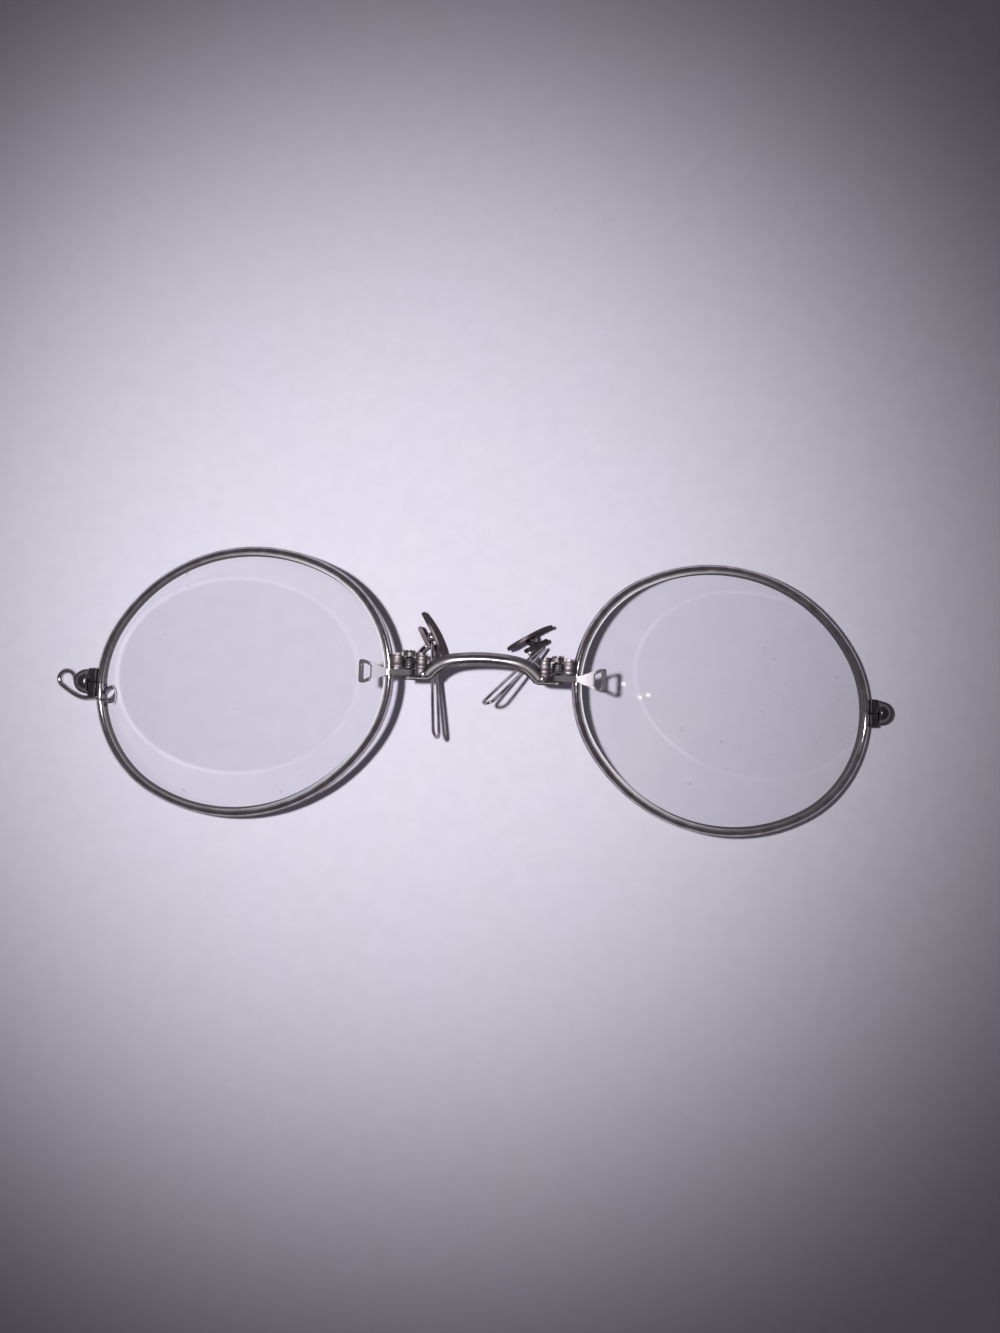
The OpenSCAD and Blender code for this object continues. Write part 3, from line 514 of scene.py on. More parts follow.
# %% Tree: wire along a path
def wire_tree():
    tree, start, inputs = begin_tree("wire_along_path", "Path",
                                     {"Section": "Object", "Finish": "Material"})
    path, outline = (add_node(tree, "GeometryNodeMeshToCurve") for _ in range(2))
    upright = add_node(tree, "GeometryNodeSetCurveNormal", mode="Z_UP")
    section = add_node(tree, "GeometryNodeObjectInfo")
    girth = add_node(tree, "GeometryNodeInputNamedAttribute", data_type="FLOAT", Name="girth")
    sweep = add_node(tree, "GeometryNodeCurveToMesh", Fill_Caps=True)
    join(tree, (start.outputs["Path"], path.inputs[0]), (path.outputs[0], upright.inputs[0]),
         (upright.outputs[0], sweep.inputs["Curve"]),
         (start.outputs["Section"], section.inputs["Object"]),
         (section.outputs["Geometry"], outline.inputs[0]),
         (outline.outputs[0], sweep.inputs["Profile Curve"]),
         (girth.outputs["Attribute"], sweep.inputs["Scale"]))
    end_tree(tree, start, sweep.outputs[0], "Wire")
    return tree, inputs


WIRE_TREE, WIRE_INPUT = wire_tree()
print("wire tree inputs:", sorted(WIRE_INPUT))


# %% Sections
def section_outline(name, points):
    n = len(points)
    lines = [(i, (i + 1) % n) for i in range(n)]
    obj = new_object(name, drawn(name, [(x, y, 0) for x, y in points], lines))
    obj.hide_render = True
    return obj


def round_section(name, thickness, sides=16):
    r, angles = thickness / 2, [i * (2 * math.pi / sides) for i in range(sides)]
    return section_outline(name, [(r * math.cos(a), r * math.sin(a)) for a in angles])


# %% Paths
ROUNDING = (0.0, 0.03, 0.12, 0.28, 0.5, 0.75)  # depths of the points that round off a cut end


def with_round_ends(points, thickness):
    """Adds points near both ends of a path, and the girth that rounds the wire off there."""
    points = [Vector(p) for p in points]
    length = [0.0]
    for a, b in zip(points, points[1:]):
        length.append(length[-1] + (b - a).length)

    def at(s):
        i = max(k for k in range(len(points) - 1) if length[k] <= s or k == 0)
        return points[i].lerp(points[i + 1], (s - length[i]) / (length[i + 1] - length[i]))

    r, whole = thickness / 2, length[-1]
    end_girth = [math.sqrt(max(0.03, 1 - (1 - d) ** 2)) for d in ROUNDING]
    inner = [p for p, s in zip(points, length) if r < s < whole - r]
    path = [at(d * r) for d in ROUNDING] + inner + [at(whole - d * r) for d in reversed(ROUNDING)]
    return path, end_girth + [1.0] * len(inner) + end_girth[::-1]


def bent_wire(name, points, section, finish, girth=None):
    n = len(points)
    mesh = drawn(name, [tuple(p) for p in points], [(i, i + 1) for i in range(n - 1)])
    mark(mesh, "girth", girth or [1.0] * n)
    obj = grow(new_object(name, mesh), WIRE_TREE, WIRE_INPUT, Section=section, Finish=finish)
    body = opened(obj.data)
    bmesh.ops.remove_doubles(body, verts=body.verts, dist=0.001)
    bmesh.ops.recalc_face_normals(body, faces=body.faces)
    smooth(keep(body, obj.data), 40)
    return obj


# %% [markdown]
# ## Rims
#
# Each rim is one length of wire, 1.0 mm wide and 1.3 mm deep, with round front and back. A V-shaped
# groove on its inner side holds the lens. The path is an oval of four arcs that meet smoothly, open
# at its outer end, where the closing blocks pull it shut.

# %% The rim wire's section
RIM_W, RIM_D, GROOVE = 1.0, 1.3, 0.4
GROOVE_HALF = RIM_D * 0.33


def rim_section():
    flat, r = (RIM_D - RIM_W) / 2, RIM_W / 2
    right = [(r * math.cos(a), math.copysign(flat, math.sin(a)) + r * math.sin(a))
             for a in (math.radians(v) for v in range(-84, 91, 12))]
    left = [(-x, y) for x, y in reversed(right)]
    lip = math.sqrt(r * r - (GROOVE_HALF - flat) ** 2)
    upper = [p for p in left if p[1] > GROOVE_HALF + 0.02]
    lower = [p for p in left if p[1] < -GROOVE_HALF - 0.02]
    groove = [(-lip + 0.015, GROOVE_HALF + 0.012), (-lip + 0.03, GROOVE_HALF - 0.03),
              (GROOVE - r, 0.02)]
    return right + upper + groove + [(x, -y) for x, y in reversed(groove)] + lower


RIM_SECTION = section_outline("rim_section", rim_section())
print("rim section has", len(RIM_SECTION.data.vertices), "points")


# %% The rims
def arc(cx, cy, radius, start, stop, step):
    """Points on an arc, from one angle to another in degrees."""
    n = max(2, round(abs(stop - start) / step))
    angles = [math.radians(start + (stop - start) * i / n) for i in range(n + 1)]
    return [(cx + radius * math.cos(a), cy + radius * math.sin(a), 0) for a in angles]


SPLIT = 17.5
SPLIT_HALF = math.degrees(math.asin(0.08 / END_R))
rim_path = (arc(END_X, 0, END_R, SPLIT + SPLIT_HALF, MEET, 2)
            + arc(0, -LONG_Y, LONG_R, MEET, 180 - MEET, 1.6)[1:]
            + arc(-END_X, 0, END_R, 180 - MEET, 180 + MEET, 2)[1:]
            + arc(0, LONG_Y, LONG_R, 180 + MEET, 360 - MEET, 1.6)[1:]
            + arc(END_X, 0, END_R, -MEET, SPLIT - SPLIT_HALF, 2)[1:])
for side, sign in SIDES.items():
    rim = bent_wire(f"grooved_rim_{side}", rim_path, RIM_SECTION, FINISH["nickel"])
    seat(place(rim, RIM_PLACE, sign), f"rim_{side}")

# %% [markdown]
# ## Lenses
#
# A reading lens is bounded by two ball surfaces: the front bulges with a radius of 90 mm, the back
# is hollow with 140 mm. Its edge is ground to a bevel that sits in the rim's groove. Rings of
# points at growing distance from the middle follow the exact formula, so that the glass refracts
# cleanly, which a mesh of few faces doesn't. The bevel takes the whole thickness of the edge: its
# white front shows as a pale line inside the rim, and its back, which reaches further in, carries a
# painted dark reflection, a thin dark line where the dark rim is mirrored inside the glass.
# The left lens has a small notch at its outer end, where the hook's eye goes round.

# %% Lens surfaces
FRONT_R, BACK_R, FRONT_TOP, BACK_TOP = 90.0, 140.0, 2.482, 0.582
BEVEL_FRONT, BEVEL_LIP, BEVEL_BACK, BEVEL_STEP = 0.61, 0.2, 0.88, (0.01, 0.012)
NOTCH_DEEP, NOTCH_HALF, NOTCH_OUT, NOTCH_TURN = 2.1, 1.45, 19, math.radians(10.9)
NOTCH_AT = (END_X + (END_R - RIM_W / 2) * math.cos(NOTCH_TURN),
            (END_R - RIM_W / 2) * math.sin(NOTCH_TURN))
NOTCH_ANGLE = math.atan2(NOTCH_AT[1], NOTCH_AT[0])


def front_z(r):
    return FRONT_TOP - (FRONT_R - math.sqrt(FRONT_R ** 2 - r * r))


def back_z(r):
    return BACK_TOP - (BACK_R - math.sqrt(BACK_R ** 2 - r * r))


def oval_reach(angle, out):
    """Distance from the lens's middle to the oval, drawn in or out, along a direction."""
    x, y = abs(math.cos(angle)), abs(math.sin(angle))
    end = END_R + out
    t = END_X * x + math.sqrt(end ** 2 - END_X ** 2 + (END_X * x) ** 2)
    if math.degrees(math.atan2(t * y, t * x - END_X)) <= MEET:
        return t
    return -LONG_Y * y + math.sqrt((LONG_R + out) ** 2 - LONG_Y ** 2 + (LONG_Y * y) ** 2)


def notched(angle, reach):
    """The same distance, cut short where the notch for the hook is."""
    aside = NOTCH_OUT * (angle - NOTCH_ANGLE)
    if abs(aside) > NOTCH_HALF:
        return reach
    return min(reach, math.hypot(*NOTCH_AT) - math.sqrt(NOTCH_DEEP ** 2 - aside ** 2))


# %% A lens from its middle to its edge
RINGS = 22


def lens_angles(notch):
    """Directions of the lens's points, closer together where the notch is."""
    angles = {round(math.radians(2.25 * i), 5) for i in range(-80, 80)}
    if notch:
        half = NOTCH_HALF / NOTCH_OUT
        angles = {a for a in angles if abs(a - NOTCH_ANGLE) > half + 0.01}
        angles |= {NOTCH_ANGLE + half * k / 10 for k in range(-10, 11)}
        angles |= {NOTCH_ANGLE - half - 0.002, NOTCH_ANGLE + half + 0.002}
    return sorted(angles)


def lens_profile(angle, notch):
    """Points (distance, height, ground, painted dark reflection) from the front's middle round to
    the back's.
    """
    reaches = [oval_reach(angle, -inset) for inset in (BEVEL_FRONT, BEVEL_LIP, BEVEL_BACK)]
    front, lip, rear = [notched(angle, reach) if notch else reach for reach in reaches]
    out, down = BEVEL_STEP
    steps = [(front * k / RINGS, front_z(front * k / RINGS), 0, 0) for k in range(1, RINGS + 1)]
    # The front bevel's points are ground; the back bevel's carry the painted dark reflection.
    steps += [(front + out, front_z(front) - down, 1, 0), (lip, 0.05, 1, 0),
              (lip, -0.05, 0, 1), (rear + out, back_z(rear) + down, 0, 1)]
    return steps + [(rear * k / RINGS, back_z(rear * k / RINGS), 0, 0) for k in range(RINGS, 0, -1)]


def lens_mesh(name, notch):
    body, columns, marks = bmesh.new(), [], [(0, 0), (0, 0)]
    top, bottom = body.verts.new((0, 0, front_z(0))), body.verts.new((0, 0, back_z(0)))
    for angle in lens_angles(notch):
        profile = lens_profile(angle, notch)
        columns.append([body.verts.new((r * math.cos(angle), r * math.sin(angle), z))
                        for r, z, _, _ in profile])
        marks += [(ground, grime) for _, _, ground, grime in profile]
    for a, b in zip(columns, columns[1:] + columns[:1]):
        body.faces.new((top, a[0], b[0]))
        body.faces.new((bottom, b[-1], a[-1]))
        for k in range(len(a) - 1):
            body.faces.new((a[k], a[k + 1], b[k + 1], b[k]))
    bmesh.ops.recalc_face_normals(body, faces=body.faces)
    mesh = keep(body, bpy.data.meshes.new(name))
    for label, amounts in zip(("ground", "grime"), zip(*marks)):
        mark(mesh, label, [float(amount) for amount in amounts])
    return smooth(mesh, 25)


# %% The lenses
for side, sign in SIDES.items():
    name = f"ground_lens_{side}"
    lens = new_object(name, lens_mesh(name, side == "left"))
    seat(place(lens, RIM_PLACE, sign), f"lens_{side}")

# %% [markdown]
# ## Springs
#
# Each lever is driven by a small wound spring on its pivot screw. The solids keep the turns well
# apart, but the real wire is wound almost close, about 0.3 mm a turn. A spiral along the pivot's
# axis follows a rule, so a second tree makes it: turns, height, radius and wire are its inputs, and
# it stands the spiral upright on the axis.

# %% Tree: wound spring
def spring_tree():
    tree, start, inputs = begin_tree(
        "wound_spring", "Blank", {"Turns": "Float", "Height": "Float", "Radius": "Float",
                                  "Wire": "Float", "Stand": "Vector", "Finish": "Material"})
    given = start.outputs
    spiral = add_node(tree, "GeometryNodeCurveSpiral", Resolution=28)
    circle = add_node(tree, "GeometryNodeCurvePrimitiveCircle", Resolution=12)
    sweep = add_node(tree, "GeometryNodeCurveToMesh", Fill_Caps=True)
    upright = add_node(tree, "GeometryNodeTransform", Rotation=(-math.pi / 2, 0, 0))
    join(tree, (given["Turns"], spiral.inputs["Rotations"]),
         (given["Height"], spiral.inputs["Height"]),
         (given["Radius"], spiral.inputs["Start Radius"]),
         (given["Radius"], spiral.inputs["End Radius"]),
         (calculate(tree, "MULTIPLY", given["Wire"], 0.5), circle.inputs["Radius"]),
         (spiral.outputs[0], sweep.inputs["Curve"]),
         (circle.outputs[0], sweep.inputs["Profile Curve"]), (sweep.outputs[0], upright.inputs[0]),
         (given["Stand"], upright.inputs["Translation"]))
    end_tree(tree, start, upright.outputs[0], "Spring")
    return tree, inputs


SPRING_TREE, SPRING_INPUT = spring_tree()
print("spring tree inputs:", sorted(SPRING_INPUT))

# %% The springs on their pivots
PIVOT_X, PIVOT_Z, SPRING_FOOT = 9.13119, 10.618, 2.72
for side, sign in SIDES.items():
    name = f"wound_spring_{side}"
    spring = grow(new_object(name, drawn(name, [(0, 0, 0)])), SPRING_TREE, SPRING_INPUT, Turns=4.0,
                  Height=1.22, Radius=0.6, Wire=0.26, Stand=(PIVOT_X, SPRING_FOOT, PIVOT_Z),
                  Finish=FINISH["nickel"])
    spring.data.shade_smooth()
    seat(place(spring, HERE, sign), f"lever_spring_{side}")

# %% [markdown]
# ## Guard loops
#
# Below each pad hangs a long loop of fine wire, which spreads the pressure on the nose. Its two
# legs draw together at the bracket, and against the paper their slight curve shows clearly. The
# path is one half circle and two long shallow arcs.

# %% The loops
LOOP_WIRE, LOOP_HALF, LOOP_ROOT, LEG_RUN = 0.42, 0.8, 0.38, 12.4
LEG_TURN = 2 * math.degrees(math.atan2(LOOP_HALF - LOOP_ROOT, LEG_RUN))
LEG_R = LEG_RUN / math.sin(math.radians(LEG_TURN))
leg = arc(LOOP_HALF - LEG_R, 0, LEG_R, LEG_TURN, 0, 0.25)
other_leg = [(-x, y, z) for x, y, z in reversed(leg)]
tip = arc(0, 0, LOOP_HALF, 0, -180, 10)
loop_path, loop_girth = with_round_ends(leg + tip[1:-1] + other_leg, LOOP_WIRE)
LOOP_SECTION = round_section("loop_section", LOOP_WIRE)
for side, sign in SIDES.items():
    g = GUARD[side]
    stand = (guard_place(side) @ Matrix.Translation(g["loop"]) @ turn(g["out"], "Z")
             @ turn(-g["forward"], "X") @ Matrix.Translation((0, -LEG_RUN, 0))
             @ turn(g["turned"], "Y"))
    loop = bent_wire(f"wire_loop_{side}", loop_path, LOOP_SECTION, FINISH["nickel"], loop_girth)
    seat(place(loop, stand, sign), f"guard_loop_{side}")

# %% [markdown]
# ## Guard arms
#
# An arm of 0.7 mm wire leaves the back of each lever's collar, bends down and forwards and ends
# flat on the bracket's bar. A curve with two handles, one straight down and one straight off the
# bar, gives the bend.

# %% The arms
ARM_WIRE, COLLAR_MID, COLLAR_BACK = 0.7, 2.1, 9.80802
ARM_SECTION = round_section("arm_section", ARM_WIRE, 20)
ON_BAR, ARM_STEPS = Vector((1.87, -0.75, -0.45)), 40


def bezier(p, t):
    """A point of the curve from p[0] to p[3], with p[1] and p[2] as its handles."""
    return (p[0] * (1 - t) ** 3 + p[1] * 3 * (1 - t) ** 2 * t + p[2] * 3 * (1 - t) * t * t
            + p[3] * t ** 3)


for side, sign in SIDES.items():
    start, bar = Vector((PIVOT_X, COLLAR_MID, COLLAR_BACK)), guard_place(side)
    handles = [start - Vector((0, 0, 0.2)), start - Vector((0, 0, 3.2)),
               bar @ (ON_BAR + Vector((1.6, 0, 0))), bar @ (ON_BAR + Vector((0.2, 0, 0)))]
    bend = [bezier(handles, i / ARM_STEPS) for i in range(ARM_STEPS + 1)]
    arm_path = [start, *bend, bar @ ON_BAR]
    arm = bent_wire(f"bent_arm_{side}", arm_path, ARM_SECTION, FINISH["nickel"])
    seat(place(arm, HERE, sign), f"guard_arm_{side}")

# %% [markdown]
# ## Cord hook
#
# The hook at the left ball is one bent wire too: an open eye for the cord, a sweep under the ball,
# and a small eye that goes round the rim wire. Its path repeats the source's points with finer
# steps. The ends are rounded, and the open eye and the sweep are a fifth thicker than the rest.

# %% The hook's path
HOOK_WIRE, BALL = 0.55, Vector((52.26097, -0.84429, 0))
THICKER = ((1.8 - BALL.x, 1.2), (3.0 - BALL.x, 1.0))


def ring(cx, cy, r, start, stop, low, high, n):
    """Points round a middle that rise gently from low to high."""
    points = []
    for i in range(n + 1):
        a, t = math.radians(start + (stop - start) * i / n), i / n
        rise = (high - low) * t * t * (3 - 2 * t)
        points.append(Vector((cx + r * math.cos(a), cy + r * math.sin(a), low + rise)))
    return points


def run(start, first, second, end, n):
    """Points of a curve after its start, its handles given from its ends."""
    return [bezier([start, start + Vector(first), end + Vector(second), end], i / n)
            for i in range(1, n + 1)]


eye = ring(BALL.x + 3.1, BALL.y + 0.2, 1.06, 200, -50, 0.34, 0.34, 40)
low, back = Vector((BALL.x + 0.6, BALL.y - 2.25, 0.62)), Vector((BALL.x - 1.6, BALL.y - 1.94, 0.74))
small = ring(BALL.x - 3.2, BALL.y - 1.5, 0.84, 80, 280, 0.94, 3.06, 32)
hook_path = (eye + run(eye[-1], (-0.75, -0.63, 0), (0.8, 0, 0), low, 14)
             + run(low, (-0.7, 0, 0), (0.6, -0.12, 0), back, 10)
             + run(back, (-0.45, 0.3, 0.04), (0.55, -0.1, 0), small[0], 10)[:-1] + small
             + [small[-1] + Vector((0.6, 0.1, 0)), small[-1] + Vector((1.35, 0.3, 0))])
print("hook path has", len(hook_path), "points")

# %% The hook
hook_points, hook_ends = with_round_ends(hook_path, HOOK_WIRE)
hook_girth = [girth * fades(-p.x, THICKER) for girth, p in zip(hook_ends, hook_points)]
hook = bent_wire("bent_cord_hook", hook_points, round_section("hook_section", HOOK_WIRE),
                 FINISH["nickel"], hook_girth)
seat(place(hook, HERE, -1), "cord_hook")

# %% [markdown]
# ## Bridge
#
# The bridge is a round wire, bent to one long crest and two tight shoulders. Under each shoulder it
# is forged flat: a strap with round edges hugs the wire, bends level and carries the hinge's stack
# on a round foot. The wire and each strap are swept with the wire tree, the strap with a flattened
# section, and the foot is a small lathed disc.

# %% Lines of the bridge
CREST_Y, CREST_R, SHOULDER_R, FALL, BRIDGE_WIRE = 4.1, 24.0, 5.2, 52.0, 1.7
FOOT_T, FOOT_W, FOOT_Y, FOOT_BEND, HINGE_IN_X = 0.5, 1.5, 1.2, 1.0, 6.93119
STRAP_FROM, STRAP_LIFT, STRAP_STEPS = 76, 0.27, 16
CREST_TURN = math.degrees(math.asin((HINGE_IN_X - SHOULDER_R * math.sin(math.radians(FALL)))
                                    / (CREST_R - SHOULDER_R)))
SHOULDER_X = (CREST_R - SHOULDER_R) * math.sin(math.radians(CREST_TURN))
SHOULDER_Y = CREST_Y - CREST_R + (CREST_R - SHOULDER_R) * math.cos(math.radians(CREST_TURN))
STRAP_IN = SHOULDER_R - BRIDGE_WIRE / 2
FOOT_MID = FOOT_Y + FOOT_T / 2
FOOT_TURN = math.degrees(math.asin((FOOT_MID - SHOULDER_Y + FOOT_BEND)
                                   / (STRAP_IN + FOOT_T / 2 + FOOT_BEND)))


def bridge_line():
    """Middle line of the wire, from the left hinge block to the right one, and its girth."""
    right = arc(0, CREST_Y - CREST_R, CREST_R, 90, 90 - CREST_TURN, 0.5)
    right += arc(SHOULDER_X, SHOULDER_Y, SHOULDER_R, 90 - CREST_TURN, 90 - FALL, 1.5)[1:]
    girth = [1.0] * len(right) + [0.75, 0.7, 0.68]
    end = Vector(right[-1])
    way = Vector((math.cos(math.radians(FALL)), -math.sin(math.radians(FALL)), 0))
    right += [tuple(end + way * d) for d in (0.02, 0.15, 0.3)]
    return [(-x, y, z) for x, y, z in reversed(right)] + right[1:], girth[::-1] + girth[1:]


def strap_line():
    """Middle line of the right strap: it leaves the shoulder's underside and bends level."""
    line = []
    for i in range(STRAP_STEPS + 1):
        a = math.radians(STRAP_FROM + (FOOT_TURN - STRAP_FROM) * i / STRAP_STEPS)
        r = STRAP_IN + FOOT_T / 2 + STRAP_LIFT * (1 - i / STRAP_STEPS)
        line.append((SHOULDER_X + r * math.cos(a), SHOULDER_Y + r * math.sin(a), 0))
    bend_x = SHOULDER_X + (STRAP_IN + FOOT_T / 2 + FOOT_BEND) * math.cos(math.radians(FOOT_TURN))
    line += arc(bend_x, FOOT_MID + FOOT_BEND, FOOT_BEND, 180 + FOOT_TURN, 270, 5)[1:]
    return line + [(PIVOT_X - 0.3, FOOT_MID, 0), (PIVOT_X, FOOT_MID, 0)]


print("crest turns", round(CREST_TURN, 2), "degrees, strap leaves at", round(FOOT_TURN, 2))


# %% The strap's section and the foot's disc
def flattened_section(name, thick, wide):
    r, flat = thick / 2 * 0.96, (wide - thick) / 2
    half = [(r * math.cos(a), flat + r * math.sin(a))
            for a in (math.radians(v) for v in range(0, 181, 20))]
    return section_outline(name, half + [(-x, -y) for x, y in half])


def lathed(name, profile, steps=48):
    """Turns a closed profile of (radius, height) round the Y axis."""
    body, n = bmesh.new(), len(profile)
    angles = [2 * math.pi * i / steps for i in range(steps)]
    rings = [[body.verts.new((r * math.cos(a), h, r * math.sin(a))) for r, h in profile]
             for a in angles]
    for a, b in zip(rings, rings[1:] + rings[:1]):
        for k in range(n):
            body.faces.new((a[k], a[(k + 1) % n], b[(k + 1) % n], b[k]))
    bmesh.ops.recalc_face_normals(body, faces=body.faces)
    return new_object(name, smooth(keep(body, bpy.data.meshes.new(name)), 40))


FOOT_HOLE, FOOT_FLAT, FOOT_ROUND = 0.36, 0.55, (0.2, 0.1)
rim_of_foot = [(FOOT_FLAT + FOOT_ROUND[0] * math.sin(a),
                -FOOT_T / 2 + FOOT_ROUND[1] * (1 - math.cos(a)))
               for a in (math.radians(v) for v in range(15, 91, 15))]
under_foot = [(FOOT_HOLE, -FOOT_T / 2), (FOOT_FLAT, -FOOT_T / 2), *rim_of_foot]
foot_profile = under_foot + [(r, -h) for r, h in reversed(under_foot)]
print("foot profile has", len(foot_profile), "points")

# %% The bridge
BRIDGE_TARNISH, BRIDGE_SATIN = [(2.5, 0.5), (5.0, 0.9)], [(2.5, 0.15), (5.0, 0.7)]
bridge_path, bridge_girth = bridge_line()
bridge = bent_wire("bent_bridge", bridge_path, round_section("bridge_section", BRIDGE_WIRE, 32),
                   FINISH["nickel"], bridge_girth)
STRAP_SECTION = flattened_section("strap_section", FOOT_T, FOOT_W)
lengths = [bridge]
for side, sign in SIDES.items():
    strap = bent_wire(f"strap_{side}", strap_line(), STRAP_SECTION, FINISH["nickel"])
    disc = lathed(f"foot_{side}", foot_profile)
    disc.data.transform(Matrix.Translation((PIVOT_X, FOOT_MID, 0)))
    lengths += [mirrored(strap, sign), mirrored(disc, sign)]
with bpy.context.temp_override(active_object=bridge, selected_editable_objects=lengths):
    bpy.ops.object.join()
place(bridge, Matrix.Translation((0, 0, PIVOT_Z)), 1)
mark(bridge.data, "tarnish", lambda p: fades(abs(p.x), BRIDGE_TARNISH))
mark(bridge.data, "satin", lambda p: fades(abs(p.x), BRIDGE_SATIN))
seat(bridge, "bridge")

# %% [markdown]
# ## The small cast and filed pieces
#
# Blocks, levers, pads, brackets and screws have the right shape in the CAD model, but their edges
# are sharp. Real filed edges catch a thin line of light. Each such node is copied, its loose
# triangles are merged, flat faces are joined again, and a narrow bevel rounds the edges. Along the
# edges the attribute wear is written, so the finish shows bare metal there. Each lever is dull at
# its collar, bright along its neck and tarnished on its finger piece. The CAD object is hidden.

# %% Helpers that shape a copied node
BLOCK_HALF, SINK_X, SINK_Y = 0.95, 0.2, 0.12
KNUCKLES_X, KNUCKLES_Y = ((7.6, 9.13, 10.6), 0.75), ((2.25, 3.5, 4.4), 0.65)
BLOCK_CUTS, CUT_STEP = (((1, 0, 0), 6.9, 11.6), ((0, 1, 0), 1.7, 4.7)), 0.15


def cut_through(body, at, across):
    """Cuts every face that a plane crosses, so that it can bend or change its finish there."""
    bmesh.ops.bisect_plane(body, geom=body.verts[:] + body.edges[:] + body.faces[:],
                           plane_co=at, plane_no=across)


def knuckle(value, tops, half):
    """0 on each rounded top and 1 halfway to the next."""
    return min(1.0, min(((value - top) / half) ** 2 for top in tops))


def crown(body, sign):
    """Swells a hinge block's flat front and back into low rounded knuckles."""
    for axis, start, stop in BLOCK_CUTS:
        for i in range(int((stop - start) / CUT_STEP)):
            at = Vector(axis) * (start + CUT_STEP * i) * MM
            at.x *= sign
            cut_through(body, at, axis)
    for v in body.verts:
        x, y, z = abs(v.co.x) / MM, v.co.y / MM, v.co.z / MM - PIVOT_Z
        sink = SINK_X * knuckle(x, *KNUCKLES_X) + SINK_Y * knuckle(y, *KNUCKLES_Y)
        v.co.z = (PIVOT_Z + z * (1 - sink / BLOCK_HALF)) * MM


# %% Where the metal is worn, dull or satin
WEAR_FROM, WEAR_OVER = 0.25, 0.5  # angles between faces, in radians
LEVER_AT = (11.3, 11.8, 13.3, 13.7)
LEVER_MARKS = {"wear": (0.0, 1.0, 1.0, 0.0), "tarnish": (0.95, 0.0, 0.0, 0.75),
               "satin": (0.95, 0.1, 0.1, 0.05)}


def lever_amount(label, x):
    return fades(abs(x), list(zip(LEVER_AT, LEVER_MARKS[label])))


def edge_wear(mesh):
    """How far each point of a mesh is worn: more where its faces meet more sharply."""
    body = opened(mesh)
    bends = [max([e.calc_face_angle(0) for e in v.link_edges], default=0) for v in body.verts]
    body.free()
    return [min(1.0, max(0.0, (b - WEAR_FROM) / WEAR_OVER)) for b in bends]


# %% A copied node with rounded edges
def copied(node, sign):
    """A node's mesh with merged points, joined flat faces and the cuts that it needs."""
    body = opened(frame["nodes"][node].data)
    bmesh.ops.remove_doubles(body, verts=body.verts, dist=0.002 * MM)
    bmesh.ops.dissolve_limit(body, angle_limit=math.radians(0.6), verts=body.verts,
                             edges=body.edges)
    if node.startswith("hinge_block"):
        crown(body, sign)
    if node.startswith("finger_lever"):
        for x in LEVER_AT:
            cut_through(body, Vector((x * sign * MM, 0, 0)), (1, 0, 0))
    body.verts.index_update()
    points = [v.co.copy() for v in body.verts]
    faces = [[v.index for v in f.verts] for f in body.faces]
    body.free()
    mesh = drawn(f"filed_{node}", points, faces=faces)
    mesh.shade_smooth()
    return mesh


def filed(node, edge):
    piece = new_object(f"filed_{node}", copied(node, kind_and_side(node)[1]))
    bevel = piece.modifiers.new("edges", "BEVEL")
    bevel.width = edge * MM
    bevel.segments = 3 if edge > 0.1 else 2
    bevel.limit_method = "ANGLE"
    bevel.angle_limit = math.radians(33)
    piece.modifiers.new("flat_faces", "WEIGHTED_NORMAL").keep_sharp = True
    mesh = plain_mesh(piece).data
    worn = edge_wear(mesh)
    if node.startswith("finger_lever"):
        worn = [max(w, lever_amount("wear", v.co.x / MM)) for w, v in zip(worn, mesh.vertices)]
        for label in ("tarnish", "satin"):
            mark(mesh, label, lambda p: lever_amount(label, p.x))
    mark(mesh, "wear", worn)
    seat(piece, node)


# %% The filed pieces
EDGES = {"bridge_rivet": 0.03, "closing_block_upper": 0.22, "closing_block_lower": 0.22,
         "closing_screw": 0.02, "ball_end": 0.04, "hinge_block": 0.07, "pivot_screw": 0.04,
         "finger_lever": 0.14, "guard_bracket": 0.16, "guard_pad": 0.1, "pad_pin": 0.03}
for kind, edge in EDGES.items():
    for side in SIDES:
        filed(f"{kind}_{side}", edge)

# %% [markdown]
# ## Paper
#
# The pince-nez lies on a sheet of white paper. Its colour is a cool white with the faint blotches
# and fibres that the photograph shows. Outside the picture's frame the sheet runs on as a pale
# ground, so that a view from the side has no dark horizon: rays from the camera, from gloss and
# through glass see it lit by itself there. The bevelled edge of each lens throws a faint pale ring
# on the paper. A renderer takes very long to find that light, so the paper itself shines a little
# there, in two ovals drawn by their radii.

# %% The sheet
sheet = bmesh.new()
bmesh.ops.create_grid(sheet, x_segments=8, y_segments=8, size=0.8)
paper = new_object("paper_sheet", keep(sheet, bpy.data.meshes.new("paper_sheet")))
paper_white, tree, shader = new_material("paper_white")
shader.inputs["Roughness"].default_value = 0.85
shader.inputs["Specular IOR Level"].default_value = 0.2
spot = object_place(tree)
BLOTCHES, FIBRES = 60, 420
blotch, fibre = noise(tree, spot, BLOTCHES, 4), noise(tree, spot, FIBRES, 6)
tint = ramp(tree, blotch, [(0.35, (0.772, 0.742, 0.868)), (0.65, (0.788, 0.735, 0.84))])
grain = ramp(tree, fibre, [(0.25, 0.955), (0.7, 1.0)])
join(tree, (mix(tree, 1, tint, grain, "MULTIPLY"), shader.inputs["Base Color"]))
bump(tree, shader, fibre, 0.25, 0.05)


# %% Helpers for the light on the paper
def half_away(vector):
    """Half the distance from an oval's middle, because a ramp ends at 1: 0.5 on the oval's line."""
    return calculate(tree, "MULTIPLY", distance(tree, vector), 0.5)


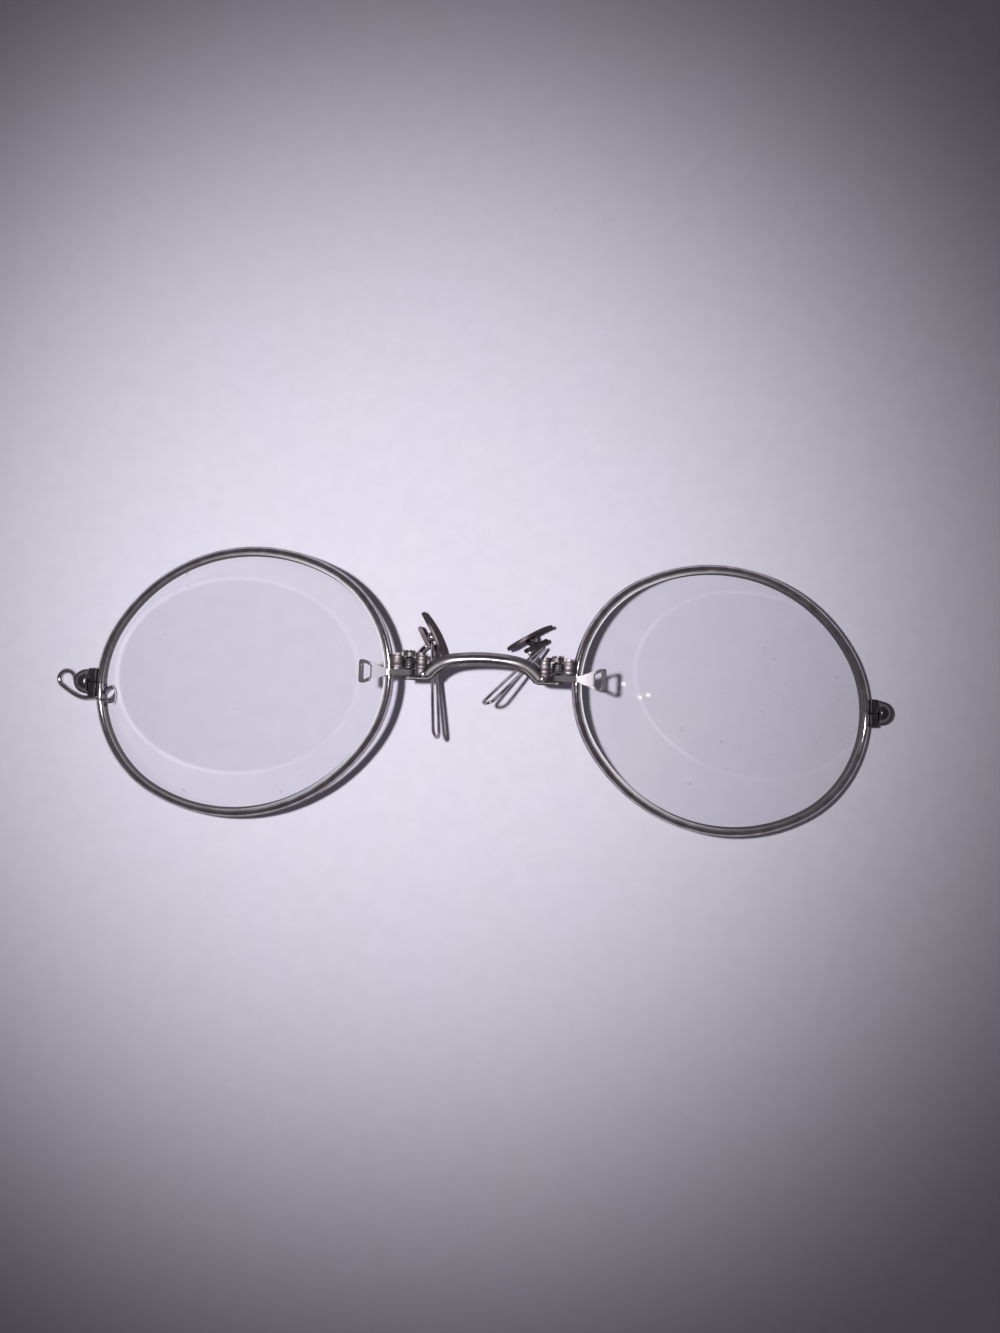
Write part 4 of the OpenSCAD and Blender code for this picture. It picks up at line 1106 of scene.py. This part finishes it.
def map_range(value, low, high, at_low, at_high, **more):
    node = add_node(tree, "ShaderNodeMapRange", From_Min=low, From_Max=high, To_Min=at_low,
                    To_Max=at_high, **more)
    join(tree, (value, node.inputs["Value"]))
    return node.outputs["Result"]


# %% The light that the lens edges throw on the paper
LENS_GLOW = {
    "left": dict(ring=((-32.7, 0.63), (15.75, 12.69), 4),
                 inside_rim=((-31.34, -0.33), (18.6, 16.8)), power=2.1, outside=0.42),
    "right": dict(ring=((35.48, 2.04), (15.52, 11.91), -14),
                  inside_rim=((32.5, -0.22), (18.8, 17.1)), power=0.8, outside=0.2)}
SHINE = 0.22


def ring_of_light(ring, inside_rim, power, outside):
    """A bright line that weakens to the right, with a weaker zone outside it, within the rim."""
    oval = seen_from(tree, spot, *ring)
    line = ramp(tree, half_away(oval), [(0.484, 0.0), (0.495, 1.0), (0.501, 1.0), (0.512, outside)])
    within = ramp(tree, half_away(seen_from(tree, spot, *inside_rim)), [(0.47, 1.0), (0.5, 0.0)])
    along = add_node(tree, "ShaderNodeSeparateXYZ")
    join(tree, (oval, along.inputs[0]))
    fall = map_range(along.outputs["X"], -1.0, 0.6, power, 0.3 * power)
    return calculate(tree, "MULTIPLY", calculate(tree, "MULTIPLY", line, fall), within)


rings = calculate(tree, "MAXIMUM", *(ring_of_light(**glow) for glow in LENS_GLOW.values()))
uneven = ramp(tree, blotch, [(0.3, 0.2), (0.65, 0.6)])
join(tree, (calculate(tree, "MULTIPLY", rings, uneven), shader.inputs["Emission Color"]))
shader.inputs["Emission Strength"].default_value = SHINE
print("rings of light under", sorted(LENS_GLOW), "lenses")

# %% The pale ground beyond the picture
FRAME_RADII, GROUND_FROM, GROUND_FULL = (81, 108), 1.0, 1.5
framed = seen_from(tree, spot, (2.04, 3.285), FRAME_RADII, CAMERA_TURN)
squares = add_node(tree, "ShaderNodeVectorMath", operation="MULTIPLY")
join(tree, (framed, squares.inputs[0]), (framed, squares.inputs[1]))
outside_frame = map_range(distance(tree, squares.outputs["Vector"]), GROUND_FROM, GROUND_FULL,
                          0.0, 1.0, interpolation_type="SMOOTHSTEP")
ray = add_node(tree, "ShaderNodeLightPath").outputs
seen = calculate(tree, "MAXIMUM", calculate(tree, "MAXIMUM", ray["Is Camera Ray"],
                                            ray["Is Glossy Ray"]), ray["Is Transmission Ray"])
ground = add_node(tree, "ShaderNodeEmission", Color=(*PALE, 1))
surface(tree, mix_shaders(tree, calculate(tree, "MULTIPLY", seen, outside_frame),
                          shader.outputs[0], ground.outputs[0]))
paper.data.materials.append(paper_white)
print("paper sheet:", [round(v, 2) for v in paper.dimensions], "m")

# %% [markdown]
# ## The end
#
# The sections were only tools, so they are removed.

# %% Remove the sections
for tool in ("rim", "loop", "arm", "hook", "bridge", "strap"):
    bpy.data.objects.remove(bpy.data.objects[f"{tool}_section"])
